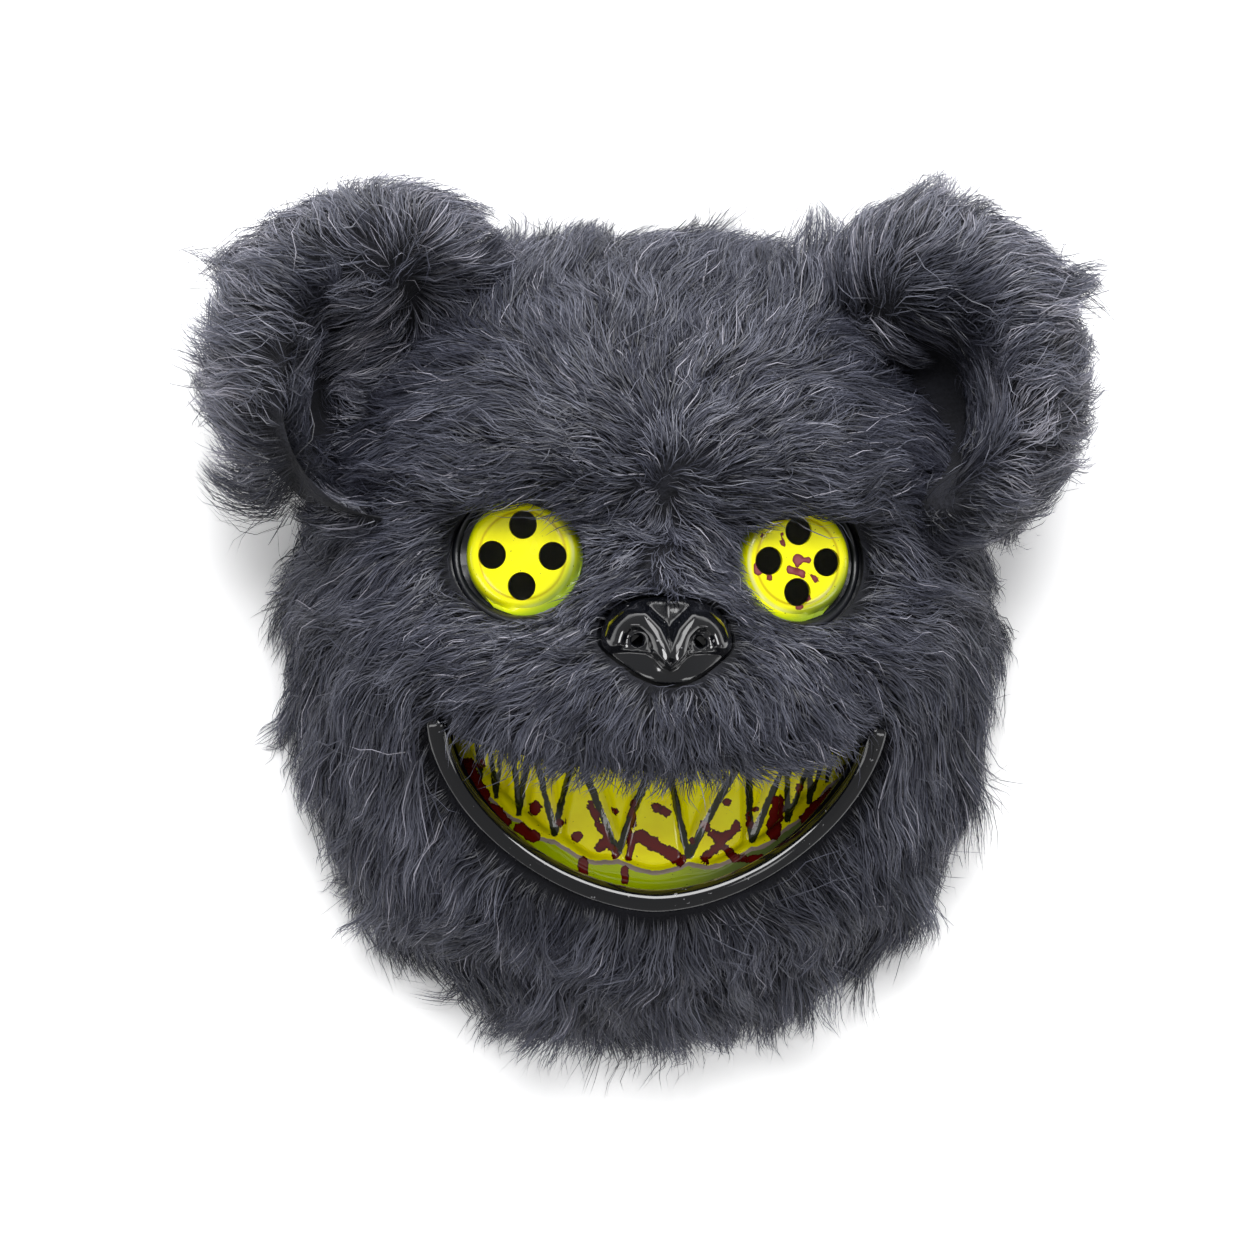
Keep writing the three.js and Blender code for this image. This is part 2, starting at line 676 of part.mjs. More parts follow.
// The lip, a round bead along the lower edge of the mouth.
function lipBead(radius) {
  const bend = (share) => {
    const turn = Math.PI * (1 + 0.03 + 0.94 * share);
    const x = Math.cos(turn) * (MOUTH_HALF_WIDTH + 0.4 * LIP_RADIUS);
    const y = MOUTH_HEIGHT + Math.sin(turn) * (MOUTH_DROP + 0.4 * LIP_RADIUS);
    const seat = new THREE.Vector3(x, y, faceHeight(x, y));
    seat.z += (LIP_RADIUS + 2 * FIT_GAP) / faceNormal(seat).z;
    return seat;
  };
  const steps = 22;
  const path = new THREE.CatmullRomCurve3(
    Array.from({ length: steps + 1 }, (_, i) => bend(i / steps)),
  );
  const section = new THREE.Shape().absarc(0, 0, radius, 0, 2 * Math.PI, false);
  const bead = new THREE.ExtrudeGeometry(section, {
    steps,
    curveSegments: 4,
    extrudePath: path,
  });
  return solidOf(bead);
}

// The nose: two round wings over scooped nostrils, a groove down the middle and a small ledge below.
function noseCap() {
  const height = (x, y) => {
    const u = x / NOSE_HALF_WIDTH;
    const v = y / NOSE_HALF_HEIGHT;
    const round = Math.max(0, 1 - Math.abs(u) ** 2.6 - Math.abs(v) ** 2.6) ** 0.45;
    const wing = Math.exp(-(((Math.abs(u) - 0.52) / 0.34) ** 2) - ((v - 0.2) / 0.5) ** 2);
    const scoop = Math.exp(-(((Math.abs(u) - 0.52) / 0.26) ** 2) - ((v + 0.25) / 0.26) ** 2);
    const groove = Math.exp(-((u / 0.1) ** 2)) * THREE.MathUtils.smoothstep(-v, -0.6, 0.6);
    return NOSE_STANDING * (0.62 * round + 0.38 * wing - 0.3 * scoop - 0.16 * groove);
  };
  const seat = (x, y) => faceHeight(x, NOSE_HEIGHT + y);
  const front = (across, along) => {
    const { x, y } = noseSpot(across * 2 - 1, along * 2 - 1, 0);
    return new THREE.Vector3(x, NOSE_HEIGHT + y, seat(x, y) + NOSE_EDGE + Math.max(0, height(x, y)));
  };
  const back = (across, along) => {
    const { x, y } = noseSpot(across * 2 - 1, along * 2 - 1, 0);
    return new THREE.Vector3(x, NOSE_HEIGHT + y, seat(x, y) - 2 * SHELL_WALL);
  };
  let nose = solidOf(slab(front, back, 12, 8));
  for (const side of [1, -1]) {
    const hole = new THREE.CylinderGeometry(NOSTRIL_RADIUS, NOSTRIL_RADIUS, NOSE_STANDING, 8)
      .rotateX(Math.PI / 2)
      .translate(
        side * NOSTRIL_OFFSET,
        NOSE_HEIGHT - 0.2 * NOSE_HALF_HEIGHT,
        seat(NOSTRIL_OFFSET, 0) + NOSE_STANDING,
      );
    nose = nose.subtract(solidOf(hole));
  }
  return largestBody(nose.subtract(faceLayer(FIT_GAP, null, 0)));
}

function finish(color, roughness, metalness = 0) {
  return new THREE.MeshStandardMaterial({ color, roughness, metalness });
}

const plushFinish = finish(0x3c3d44, 0.95);
const shellFinish = finish(0x101114, 0.3);
const glossFinish = finish(0x0c0d10, 0.12);
const lensFinish = finish(0xf2ee08, 0.2);
const toothFinish = finish(0xe6dc14, 0.25);

function namedMesh(name, solid, material) {
  const mesh = new THREE.Mesh(geometryOf(solid), material);
  mesh.name = name;
  return mesh;
}

const mask = new THREE.Group();
mask.add(namedMesh("face_shell", plasticShell(), shellFinish));
mask.add(namedMesh("plush_cover", plushCover(), plushFinish));
for (const ear of EARS) {
  mask.add(namedMesh(`ear_${ear.word}`, plushEar(ear), plushFinish));
  mask.add(namedMesh(`eye_lens_${ear.word}`, eyeLens(ear.side), lensFinish));
}
mask.add(namedMesh("tooth_plate", toothPlate(), toothFinish));
mask.add(namedMesh("lip_bead", lipBead(LIP_RADIUS), glossFinish));
mask.add(namedMesh("nose", noseCap(), glossFinish));

// The origin is the middle of the mask's own footprint.
const footprint = new THREE.Box3().setFromObject(mask);
const middle = footprint.getCenter(new THREE.Vector3());
mask.position.set(-middle.x, -middle.y, -footprint.min.z);

export default mask;
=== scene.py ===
"""A furry bear mask: dark plush over a thin gloss shell, pierced yellow eyes and a painted grin.

Every piece is made round the packed solids of the mask, in metres, and stays where they are. The face
is worked out about its own middle, which is the middle of the packed shell.
"""

import math

import bpy
import numpy as np
from mathutils import Matrix, Vector
from mathutils.bvhtree import BVHTree
from mathutils.kdtree import KDTree


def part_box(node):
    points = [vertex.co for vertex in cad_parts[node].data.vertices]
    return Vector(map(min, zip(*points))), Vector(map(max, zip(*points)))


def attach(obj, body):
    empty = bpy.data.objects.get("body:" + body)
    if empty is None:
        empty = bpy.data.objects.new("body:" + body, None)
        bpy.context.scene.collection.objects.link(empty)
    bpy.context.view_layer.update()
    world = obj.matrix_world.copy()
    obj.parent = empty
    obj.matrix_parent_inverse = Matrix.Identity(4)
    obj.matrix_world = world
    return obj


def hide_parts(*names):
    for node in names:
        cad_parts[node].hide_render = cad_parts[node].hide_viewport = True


bl_info = {
    "name": "Furry Bear Mask",
    "version": (1, 0, 0),
    "blender": (4, 5, 0),
    "location": "3D View > Sidebar > Bear Mask",
    "description": "Plush, gloss plastic, pierced lenses and painted teeth for a furry bear mask",
    "category": "Object",
}

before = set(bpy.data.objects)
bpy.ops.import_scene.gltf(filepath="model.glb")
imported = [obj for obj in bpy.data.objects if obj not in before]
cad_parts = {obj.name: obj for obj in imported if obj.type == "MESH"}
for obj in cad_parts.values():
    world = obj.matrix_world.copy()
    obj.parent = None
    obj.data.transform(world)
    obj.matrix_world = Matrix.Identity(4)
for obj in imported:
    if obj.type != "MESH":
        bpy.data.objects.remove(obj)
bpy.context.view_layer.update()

# The rim and the middle of the face, from the packed shell. The shell is 176 millimetres wide, and 98
# of its 202 millimetres lie above the middle.
SHELL_LOW, SHELL_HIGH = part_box("face_shell")
RIM_HEIGHT = SHELL_HIGH.y - SHELL_LOW.y
HALF_WIDTH = (SHELL_HIGH.x - SHELL_LOW.x) / 2
TO_CROWN = RIM_HEIGHT * 98 / 202
TO_CHIN = RIM_HEIGHT - TO_CROWN
MIDDLE = np.array([(SHELL_HIGH.x + SHELL_LOW.x) / 2, SHELL_LOW.y + TO_CHIN, 0.0])
UNIT = HALF_WIDTH / 88  # one millimetre of the mask as it is packed

DOME_DEPTH = 58 * UNIT
OUTLINE_POWER = 2.15
DOME_POWER = 2.3
BROW_MIDDLE = 0.038  # from the middle of the face to where each brow is lifted
BROW_EDGE = {-1: (31.5, 0.3), 1: (29.0, 0.18)}  # for each side, its level over the lens and its slope
FLOW_REACH = 0.1  # how far a row of the fur's flow reaches, as a share of the half width
CROWN_EDGE, CHIN_EDGE = 0.24, -0.42  # where the fur's pieces meet, as shares of the reach to the crown
FACE_SEED, EAR_SEED = 11, 31
FUR_LOWEST = -142 * UNIT  # where the longest fur of the chin ends
FUR_WIDEST = 140 * UNIT
CUT_LOW, CUT_HIGH = 0.02, SHELL_HIGH.z + 0.03  # levels of a cutter through the whole face

# Rises and hollows of the face. Across and wide are shares of the half width, along, above and below
# are shares of the reach to the crown, and rise is a share of the dome's depth.
RELIEF = [
    # across, along, wide, above, below, rise
    (0.0, -0.27, 0.36, 0.24, 0.15, 0.46),  # muzzle
    (0.0, 0.02, 0.15, 0.22, 0.26, 0.16),  # bridge
    (0.4, 0.43, 0.34, 0.16, 0.08, 0.2),  # brow
    (0.44, 0.16, 0.2, 0.12, 0.14, -0.2),  # socket
    (0.66, -0.2, 0.2, 0.2, 0.24, 0.16),  # cheek
    (0.66, -0.4, 0.12, 0.14, 0.12, -0.06),  # grin line
    (0.0, -0.8, 0.42, 0.12, 0.16, 0.2),  # chin
    (0.0, 0.66, 0.5, 0.2, 0.26, 0.12),  # forehead
    (0.0, 0.33, 0.07, 0.16, 0.1, -0.1),  # frown
]

# The ear's half section from its back, over the rolled edge, to the bottom of its cup. Reach is a share
# of the half width and height, level of the depth, roll is how much the level sinks towards the head
# and cup how far the row follows the cup's middle.
EAR_SECTION = [
    # reach, level, roll, cup
    (0.45, 0.02, 0.0, 0.0),
    (0.8, 0.12, 0.3, 0.0),
    (0.96, 0.36, 0.6, 0.0),
    (1.0, 0.64, 0.8, 0.0),
    (0.93, 0.9, 1.0, 0.0),
    (0.76, 1.0, 1.0, 0.3),
    (0.55, 0.9, 1.0, 0.8),
    (0.42, 0.55, 1.0, 1.0),
    (0.3, 0.28, 0.6, 1.0),
]

# Each ear: its side, its cup's middle, height and width as shares of the ear's own, and how much wider
# than usual it is.
EARS = {
    "left": {"side": -1, "across": 0.42, "along": -0.29, "tall": 1.3, "wide": 0.7, "girth": 1.07},
    "right": {"side": 1, "across": -0.06, "along": -0.16, "tall": 1.1, "wide": 1.15, "girth": 1.0},
}

# Of both ears, in millimetres: half the width, half the height and depth, the place on the face, how
# deep the cup's middle lies and half of its bare part. The turn towards the head is in degrees.
EAR_SIZE = (39, 45, 44)
EAR_PLACE = (80, 68, 14)
CUP_LEVEL = 20
CUP_SIZE = (11, 24)
EAR_TURN = 12

# Which way the fur lies on the face. Across is a share of the half width and along of the reach to the
# crown. Heading is in degrees, from the crown outwards. Length and pile are in millimetres, and loose
# is how far the tips hang free. Side 0 is both sides of the face alike.
FACE_FLOW = [
    # side, across, along, heading, length, pile, loose
    (-1, 0.0, 1.12, -45, 24, 11, 0.6),
    (-1, 0.3, 1.0, -5, 26, 12, 0.6),
    (-1, 0.5, 0.93, 2, 32, 14, 0.7),
    (1, 0.3, 1.0, 30, 27, 15, 0.65),
    (1, 0.5, 0.93, 22, 33, 17, 0.75),
    (0, 0.0, 0.77, 0, 24, 8, 0.2),
    (0, 0.15, 0.85, 14, 24, 8, 0.2),
    (0, 0.36, 0.8, 34, 25, 8, 0.2),
    (0, 0.14, 0.55, 38, 23, 7, 0.15),
    (0, 0.27, 0.64, 52, 24, 7, 0.15),
    (0, 0.42, 0.68, 60, 24, 8, 0.15),
    (0, 0.62, 0.73, 66, 26, 9, 0.2),
    (0, 0.62, 0.54, 82, 23, 8, 0.15),
    (0, 0.66, 0.38, 95, 20, 8, 0.25),
    (0, 0.32, 0.44, 78, 20, 7, 0.25),
    (0, 0.4, 0.35, 102, 19, 7, 0.45),
    (0, 0.14, 0.45, 60, 19, 5, 0.1),
    (0, 0.12, 0.36, 98, 14, 4, 0.1),
    (0, 0.05, 0.5, 62, 15, 4, 0.1),
    (0, 0.05, 0.4, 82, 13, 4, 0.1),
    (0, 0.05, 0.3, 102, 11, 3, 0.1),
    (0, 0.22, 0.3, 116, 15, 5, 0.35),
    (0, 0.05, 0.2, 140, 12, 5, 0.1),
    (0, 0.22, 0.06, 138, 10, 3, 0.1),
    (0, 0.44, -0.04, 116, 12, 4, 0.1),
    (0, 0.6, -0.09, 124, 18, 6, 0.2),
    (0, 0.45, -0.14, 144, 18, 7, 0.3),
    (0, 0.28, -0.2, 150, 17, 7, 0.3),
    (0, 0.12, -0.18, 142, 14, 6, 0.2),
    (0, 0.0, -0.27, 180, 15, 7, 0.3),
    (0, 0.84, 0.32, 102, 22, 8, 0.3),
    (0, 0.8, 0.14, 118, 22, 7, 0.2),
    (0, 0.95, 0.04, 112, 28, 12, 0.5),
    (0, 1.1, -0.07, 124, 30, 13, 0.6),
    (0, 0.87, -0.07, 112, 27, 10, 0.3),
    (0, 0.75, -0.15, 126, 25, 8, 0.2),
    (0, 1.1, -0.26, 154, 32, 13, 0.6),
    (0, 0.95, -0.29, 168, 32, 12, 0.5),
    (0, 0.87, -0.4, 176, 32, 11, 0.5),
    (0, 0.78, -0.6, 166, 31, 11, 0.6),
    (0, 0.83, -0.78, 156, 33, 12, 0.75),
    (0, 0.54, -0.7, 150, 27, 9, 0.5),
    (0, 0.36, -0.86, 160, 27, 9, 0.6),
    (0, 0.08, -0.88, 176, 27, 9, 0.6),
    (0, 0.36, -1.1, 162, 30, 11, 0.85),
    (0, 0.0, -1.18, 180, 30, 11, 0.85),
]

# The same for the fur of the ears.
EAR_FLOW = [
    (-1, 0.57, 1.05, -75, 24, 11, 0.5),
    (-1, 0.6, 0.9, -105, 20, 8, 0.2),
    (-1, 0.66, 0.78, -150, 18, 6, 0.2),
    (-1, 0.72, 0.63, 128, 17, 6, 0.2),
    (-1, 0.7, 1.12, -30, 24, 10, 0.5),
    (-1, 0.88, 1.12, 12, 24, 9, 0.3),
    (-1, 1.02, 1.05, 48, 24, 9, 0.3),
    (-1, 1.19, 0.95, 60, 24, 10, 0.4),
    (-1, 1.31, 0.75, 66, 25, 15, 0.5),
    (-1, 1.27, 0.6, 72, 25, 14, 0.45),
    (-1, 1.31, 0.45, 86, 25, 15, 0.5),
    (-1, 1.19, 0.31, 110, 26, 14, 0.55),
    (-1, 0.9, 0.83, 72, 16, 4, 0.1),
    (-1, 1.04, 0.6, 76, 15, 4, 0.1),
    (-1, 0.78, 0.5, 100, 16, 5, 0.2),
    (-1, 0.94, 0.32, 120, 18, 6, 0.3),
    (1, 0.5, 1.08, 28, 26, 10, 0.5),
    (1, 0.62, 1.12, 26, 26, 14, 0.5),
    (1, 0.78, 1.14, 24, 24, 13, 0.4),
    (1, 0.94, 1.1, 45, 24, 12, 0.4),
    (1, 1.1, 1.05, 65, 22, 10, 0.3),
    (1, 1.2, 0.92, 80, 22, 8, 0.4),
    (1, 1.28, 0.73, 76, 22, 8, 0.5),
    (1, 1.05, 0.76, 60, 16, 5, 0.1),
    (1, 0.7, 0.98, 62, 18, 7, 0.2),
    (1, 0.85, 0.86, 84, 18, 6, 0.2),
    (1, 1.28, 0.56, 76, 22, 8, 0.5),
    (1, 1.18, 0.38, 104, 22, 8, 0.5),
    (1, 1.02, 0.5, 80, 15, 4, 0.1),
    (1, 0.94, 0.35, 112, 18, 6, 0.3),
]

# Long tufts that stand off the outline: side, across and along as above, spread in millimetres, and
# how many times the usual length.
TUFTS = [
    # side, across, along, spread, stretch
    (-1, 1.16, 1.04, 3, 1.54),
    (-1, 1.24, 0.98, 3, 1.72),
    (-1, 1.3, 0.86, 3, 1.6),
    (-1, 1.35, 0.68, 3, 1.42),
    (-1, 1.31, 0.5, 3, 1.54),
    (-1, 1.12, 0.32, 5, 1.48),
    (-1, 0.96, 1.12, 3, 1.24),
    (1, 1.22, 0.97, 5, 1.8),
    (1, 1.31, 0.77, 3, 1.54),
    (1, 1.31, 0.58, 3, 1.48),
    (1, 1.12, 0.32, 3, 1.42),
    (1, 0.44, 0.88, 6, 1.56),
    (1, 0.74, 1.12, 4, 1.4),
    (-1, 0.93, -0.3, 4, 1.48),
    (1, 0.93, -0.24, 4, 1.48),
    (-1, 0.74, -0.66, 4, 1.36),
    (1, 0.74, -0.64, 4, 1.36),
    (-1, 0.47, -0.88, 4, 1.32),
    (1, 0.46, -0.9, 4, 1.32),
    (-1, 0.24, -0.98, 4, 1.25),
    (1, 0.1, -1.01, 4, 1.25),
]

# The nose's right half: the crest of its wing and the fine ridge below the nostril, as shares of the
# nose's half width and half height.
NOSE_WING = [(0.04, -0.5), (0.12, -0.12), (0.22, 0.2), (0.4, 0.48), (0.62, 0.5), (0.78, 0.26), (0.84, 0.02)]
NOSE_RIDGE = [(0.0, -0.66), (0.1, -0.57), (0.24, -0.36), (0.36, -0.26), (0.6, -0.24), (0.92, -0.28)]

# The middle of each nostril, as shares of the nose's half width and half height.
NOSTRIL_ACROSS, NOSTRIL_ALONG = 0.48, -0.02

# The tips of the fangs that point down, as millimetres from the middle of the face to the side and up,
# how far each fang opens upwards on its left and right for each millimetre, and its groove's width.
FANGS = [
    # across, along, left, right, groove
    (-47.0, -43.5, 0.16, 0.04, 1.0),
    (-42.6, -48.5, 0.18, 0.06, 1.1),
    (-36.2, -53.0, 0.16, 0.1, 1.2),
    (-26.4, -58.6, 0.3, 0.16, 1.4),
    (-9.2, -63.4, 0.46, 0.3, 1.6),
    (10.2, -63.8, 0.3, 0.46, 1.6),
    (27.8, -59.6, 0.14, 0.34, 1.5),
    (37.6, -53.8, 0.1, 0.3, 1.3),
    (43.4, -48.6, 0.06, 0.26, 1.2),
    (48.2, -42.6, 0.04, 0.2, 1.0),
]

# Red paint on the teeth and gum: runs from a start to an end, in millimetres from the face's middle.
TOOTH_STAINS = [
    # across, along, to across, to along, radius
    (-47.1, -40.0, -47.1, -40.0, 1.3),
    (-32.1, -51.7, -32.1, -51.7, 1.8),
    (-25.4, -55.3, -25.4, -55.3, 1.5),
    (-20.5, -59.1, -20.5, -59.1, 1.6),
    (-14.0, -61.3, -14.0, -61.3, 1.6),
    (-17.6, -50.1, -9.8, -64.1, 1.0),
    (-10.8, -51.9, -10.8, -51.9, 1.2),
    (-5.6, -49.5, -6.1, -64.8, 1.0),
    (-51.8, -40.5, -46.7, -48.7, 2.6),
    (-43.7, -51.9, -39.9, -55.6, 1.8),
    (-35.7, -57.2, -32.3, -59.6, 1.8),
    (-18.5, -65.5, -18.3, -73.8, 1.2),
    (-7.3, -67.8, -7.2, -70.7, 1.0),
    (-3.8, -58.3, 7.5, -64.8, 1.8),
    (0.3, -50.3, 3.5, -52.1, 1.3),
    (10.8, -59.6, 10.8, -59.6, 1.3),
    (14.1, -55.2, 23.3, -64.5, 1.3),
    (23.1, -55.5, 14.3, -64.7, 1.3),
    (19.6, -49.0, 19.6, -49.0, 1.2),
    (26.0, -52.7, 26.7, -55.2, 0.8),
    (26.7, -55.2, 29.2, -54.7, 0.8),
    (28.0, -51.1, 28.0, -51.1, 1.1),
    (34.2, -49.0, 33.9, -57.1, 2.2),
    (40.2, -44.8, 40.2, -44.8, 1.3),
    (43.7, -53.3, 49.9, -47.7, 2.6),
    (26.4, -64.6, 31.8, -64.8, 1.2),
    (51.5, -39.4, 53.3, -39.3, 1.0),
]

# Red paint on the right lens, in millimetres from its middle: streaks, drops and flecks.
LENS_STAINS = [
    # across, along, to across, to along, radius
    (0.0, 0.5, 0.0, 0.5, 1.6),
    (0.0, 0.5, 3.0, 0.5, 0.7),
    (3.0, 0.5, 3.0, 0.5, 1.0),
    (-2.6, -2.4, -0.3, -2.7, 1.1),
    (-0.3, -2.7, 2.3, -3.7, 1.0),
    (2.3, -3.7, 6.6, -4.9, 0.75),
    (-6.2, 5.4, -3.8, 4.5, 0.7),
    (-4.7, 7.3, -4.7, 7.3, 0.65),
    (-10.5, 6.8, -10.5, 6.8, 0.6),
    (-11.3, -1.4, -11.3, -2.8, 1.3),
    (-8.3, -4.6, -8.3, -5.2, 1.1),
    (2.4, -10.2, 3.6, -9.6, 0.7),
    (0.4, -12.4, 1.2, -12.4, 0.8),
    (6.5, -7.0, 6.5, -7.0, 0.3),
]

# Specks on the left lens.
LEFT_LENS_STAINS = [
    (-2.5, -1.2, -2.5, -1.2, 0.28),
    (-5.1, 5.6, -5.1, 5.6, 0.35),
    (-13.4, 4.0, -13.4, 4.0, 0.4),
]

# The turned profile of a lens: radius and level as shares of its radius.
LENS_PROFILE = [
    # reach, level
    (0.2, 0.0),
    (0.4, 0.0),
    (0.55, 0.0),
    (0.66, 0.0),
    (0.7, -0.002),
    (0.722, -0.014),
    (0.745, -0.018),
    (0.775, -0.016),
    (0.82, -0.024),
    (0.87, -0.05),
    (0.915, -0.095),
    (0.955, -0.16),
    (0.985, -0.25),
    (1.0, -0.36),
    (1.01, -0.5),
]


# Shapes of the face


def mix(start, end, share):
    """A value between start and end."""
    return start + (end - start) * share


def ease(value, low, high):
    """0 at low, 1 at high and smooth between them."""
    share = np.clip((value - low) / (high - low), 0, 1)
    return share * share * (3 - 2 * share)


def unit(vectors):
    """Each row of an array at length one."""
    return vectors / np.maximum(np.linalg.norm(vectors, axis=-1, keepdims=True), 1e-9)


def outline_share(x, y):
    """How far out a place lies: 0 in the middle of the face and 1 on its rim."""
    reach = np.where(y > 0, TO_CROWN, TO_CHIN)
    across = (np.abs(x) / HALF_WIDTH) ** OUTLINE_POWER
    along = (np.abs(y) / reach) ** OUTLINE_POWER
    return (across + along) ** (1 / OUTLINE_POWER)


def face_relief(x, y):
    """What the muzzle, brows, cheeks and hollows add to the dome."""
    total = np.zeros_like(x)
    for across, along, wide, above, below, rise in RELIEF:
        off = y / TO_CROWN - along
        climb = (off / np.where(off > 0, above, below)) ** 2
        for side in (-1, 1) if across else (0,):
            spread = ((x / HALF_WIDTH - side * across) / wide) ** 2
            total += rise * DOME_DEPTH * np.exp(-0.5 * (spread + climb))
    return total * np.maximum(0, 1 - outline_share(x, y) ** 6)


def face_height(x, y):
    """The level of the plastic face."""
    share = np.minimum(1, outline_share(x, y))
    return DOME_DEPTH * (1 - share**DOME_POWER) ** (1 / DOME_POWER) + face_relief(x, y)


def face_field(points):
    """Below 0 inside the face and above 0 outside it."""
    x, y, z = points[..., 0], points[..., 1], points[..., 2]
    standing = np.maximum(0, z - face_relief(x, y)) / DOME_DEPTH
    return outline_share(x, y) ** DOME_POWER + standing**DOME_POWER - 1


def face_slope(points):
    """The steepest rise of the face's field."""
    step = 0.5 * UNIT
    slope = np.empty_like(points)
    for axis in range(3):
        nudge = np.zeros(3)
        nudge[axis] = step
        slope[..., axis] = (face_field(points + nudge) - face_field(points - nudge)) / (2 * step)
    slope[..., 2] = np.where(points[..., 2] < step, 0, slope[..., 2])
    return slope


def face_surface(u, v, offset):
    """Points of the face for a square grid of u and v from -1 to 1, with its middle on the nose."""
    wide = np.abs(u) > np.abs(v)
    radius = np.where(wide, u, v)
    safe = np.where(np.abs(radius) < 1e-9, 1, radius)
    turn = np.where(wide, v / safe * np.pi / 4, np.pi / 2 - u / safe * np.pi / 4)
    share = np.sin(np.abs(radius) * np.pi / 2) ** (2 / DOME_POWER)
    x = np.cos(turn) * np.sign(radius)
    y = np.sin(turn) * np.sign(radius)
    x = np.sign(x) * np.abs(x) ** (2 / OUTLINE_POWER) * share * HALF_WIDTH
    y = np.sign(y) * np.abs(y) ** (2 / OUTLINE_POWER) * share * np.where(y > 0, TO_CROWN, TO_CHIN)
    climb = np.maximum(0, np.cos(np.abs(radius) * np.pi / 2)) ** (2 / DOME_POWER)
    points = np.stack([x, y, climb * DOME_DEPTH + face_relief(x, y)], axis=-1)
    return points + unit(face_slope(points)) * offset(x, y)[..., None]


def lens_middle(side, lens):
    """The middle of a lens's face."""
    x, y = side * lens.offset, lens.height
    return np.array([x, y, float(face_height(np.array(x), np.array(y))) + lens.standing])


def lens_turn(side, lens):
    """How a lens is turned outwards."""
    return Matrix.Rotation(side * lens.tilt, 4, "Y")


def lens_level(side, lens, x):
    """The level of the lens's flat face at a place."""
    middle = lens_middle(side, lens)
    return middle[2] - (x - middle[0]) * math.tan(side * lens.tilt)


def brow_edge(side, x):
    """How low the brow's plush reaches over each lens."""
    middle, slope = BROW_EDGE[side]
    return (middle + slope * (np.abs(x) / UNIT - 38)) * UNIT


def eye_opening(side, lens, count=64):
    """The outline of the plush round a lens, cut off at the brow."""
    turn = np.linspace(0, 2 * np.pi, count, endpoint=False)
    room = lens.radius + lens.socket
    x = side * (lens.offset + 0.5 * UNIT) + (room + 0.4 * UNIT) * np.sin(turn)
    y = lens.height + room * np.cos(turn)
    return np.stack([x, np.minimum(y, brow_edge(side, x))], axis=-1)


def in_eye_opening(x, y, lens, grow=0.0):
    """Where the plush is open for a lens."""
    inside = np.zeros(x.shape, bool)
    for side in (-1, 1):
        room = lens.radius + lens.socket + grow
        u = (x - side * (lens.offset + 0.5 * UNIT)) / (room + 0.4 * UNIT)
        v = (y - lens.height) / room
        inside |= (u * u + v * v < 1) & (y < brow_edge(side, x) + grow)
    return inside


def nose_taper(v):
    """How much narrower the nose is towards its lower edge."""
    return 1 - 0.4 * ease(v, -0.05, -1.0)


def nose_square(u, v, nose, margin=0.0):
    """Places of the nose for u and v from -1 to 1: a square whose corners are drawn in."""
    most = np.maximum(np.abs(u), np.abs(v))
    soft = mix(1, most / np.maximum(np.hypot(u, v), 1e-9), 0.8)
    across = u * soft * nose_taper(v * soft)
    return across * (nose.half_width + margin), v * soft * (nose.half_height + margin)


def nose_depth(x, y, nose, margin=0.0):
    """How far a place lies inside the nose's outline, as a share of its half height."""
    v = (y - nose.height) / (nose.half_height + margin)
    u = x / (nose.half_width + margin) / nose_taper(v)
    return 1 - (np.abs(u) ** 2.4 + np.abs(v) ** 2.4) ** (1 / 2.4)


def in_grin(x, y, grin, below, above):
    """Where the plush is open for the grin."""
    half = grin.half_width + below
    v = np.minimum(0, y - grin.height - above)
    across = (np.abs(x) / half) ** grin.fullness
    under = across + (-v / (grin.drop + below + above)) ** grin.fullness < 1
    over = across + (-v / grin.upper_drop) ** grin.fullness < 1
    return under & ~over & (y < grin.height + above)


def grin_arc(turn, grin):
    """A point of the grin's arc, to the side and down, for a turn from its lowest point."""
    side, drop = np.sin(turn), np.cos(turn)
    power = 2 / grin.fullness
    return np.sign(side) * np.abs(side) ** power, np.sign(drop) * np.abs(drop) ** power


def grin_point(across, along, grin, margin):
    """A place of the grin: across from corner to corner, along from the upper to the lower lip."""
    side, drop = grin_arc((across * 2 - 1) * np.pi / 2 * 0.97, grin)
    upper = grin.upper_drop * drop - margin
    lower = grin.drop * drop + margin
    return side * (grin.half_width + margin), grin.height - mix(upper, lower, along)


def run_distance(x, y, points):
    """The distance from each place to a run of straight lines through points."""
    found = np.full(np.shape(x), 1e9)
    for (x0, y0), (x1, y1) in zip(points[:-1], points[1:]):
        run_x, run_y = x1 - x0, y1 - y0
        share = np.clip(((x - x0) * run_x + (y - y0) * run_y) / (run_x**2 + run_y**2), 0, 1)
        found = np.minimum(found, np.hypot(x - x0 - share * run_x, y - y0 - share * run_y))
    return found


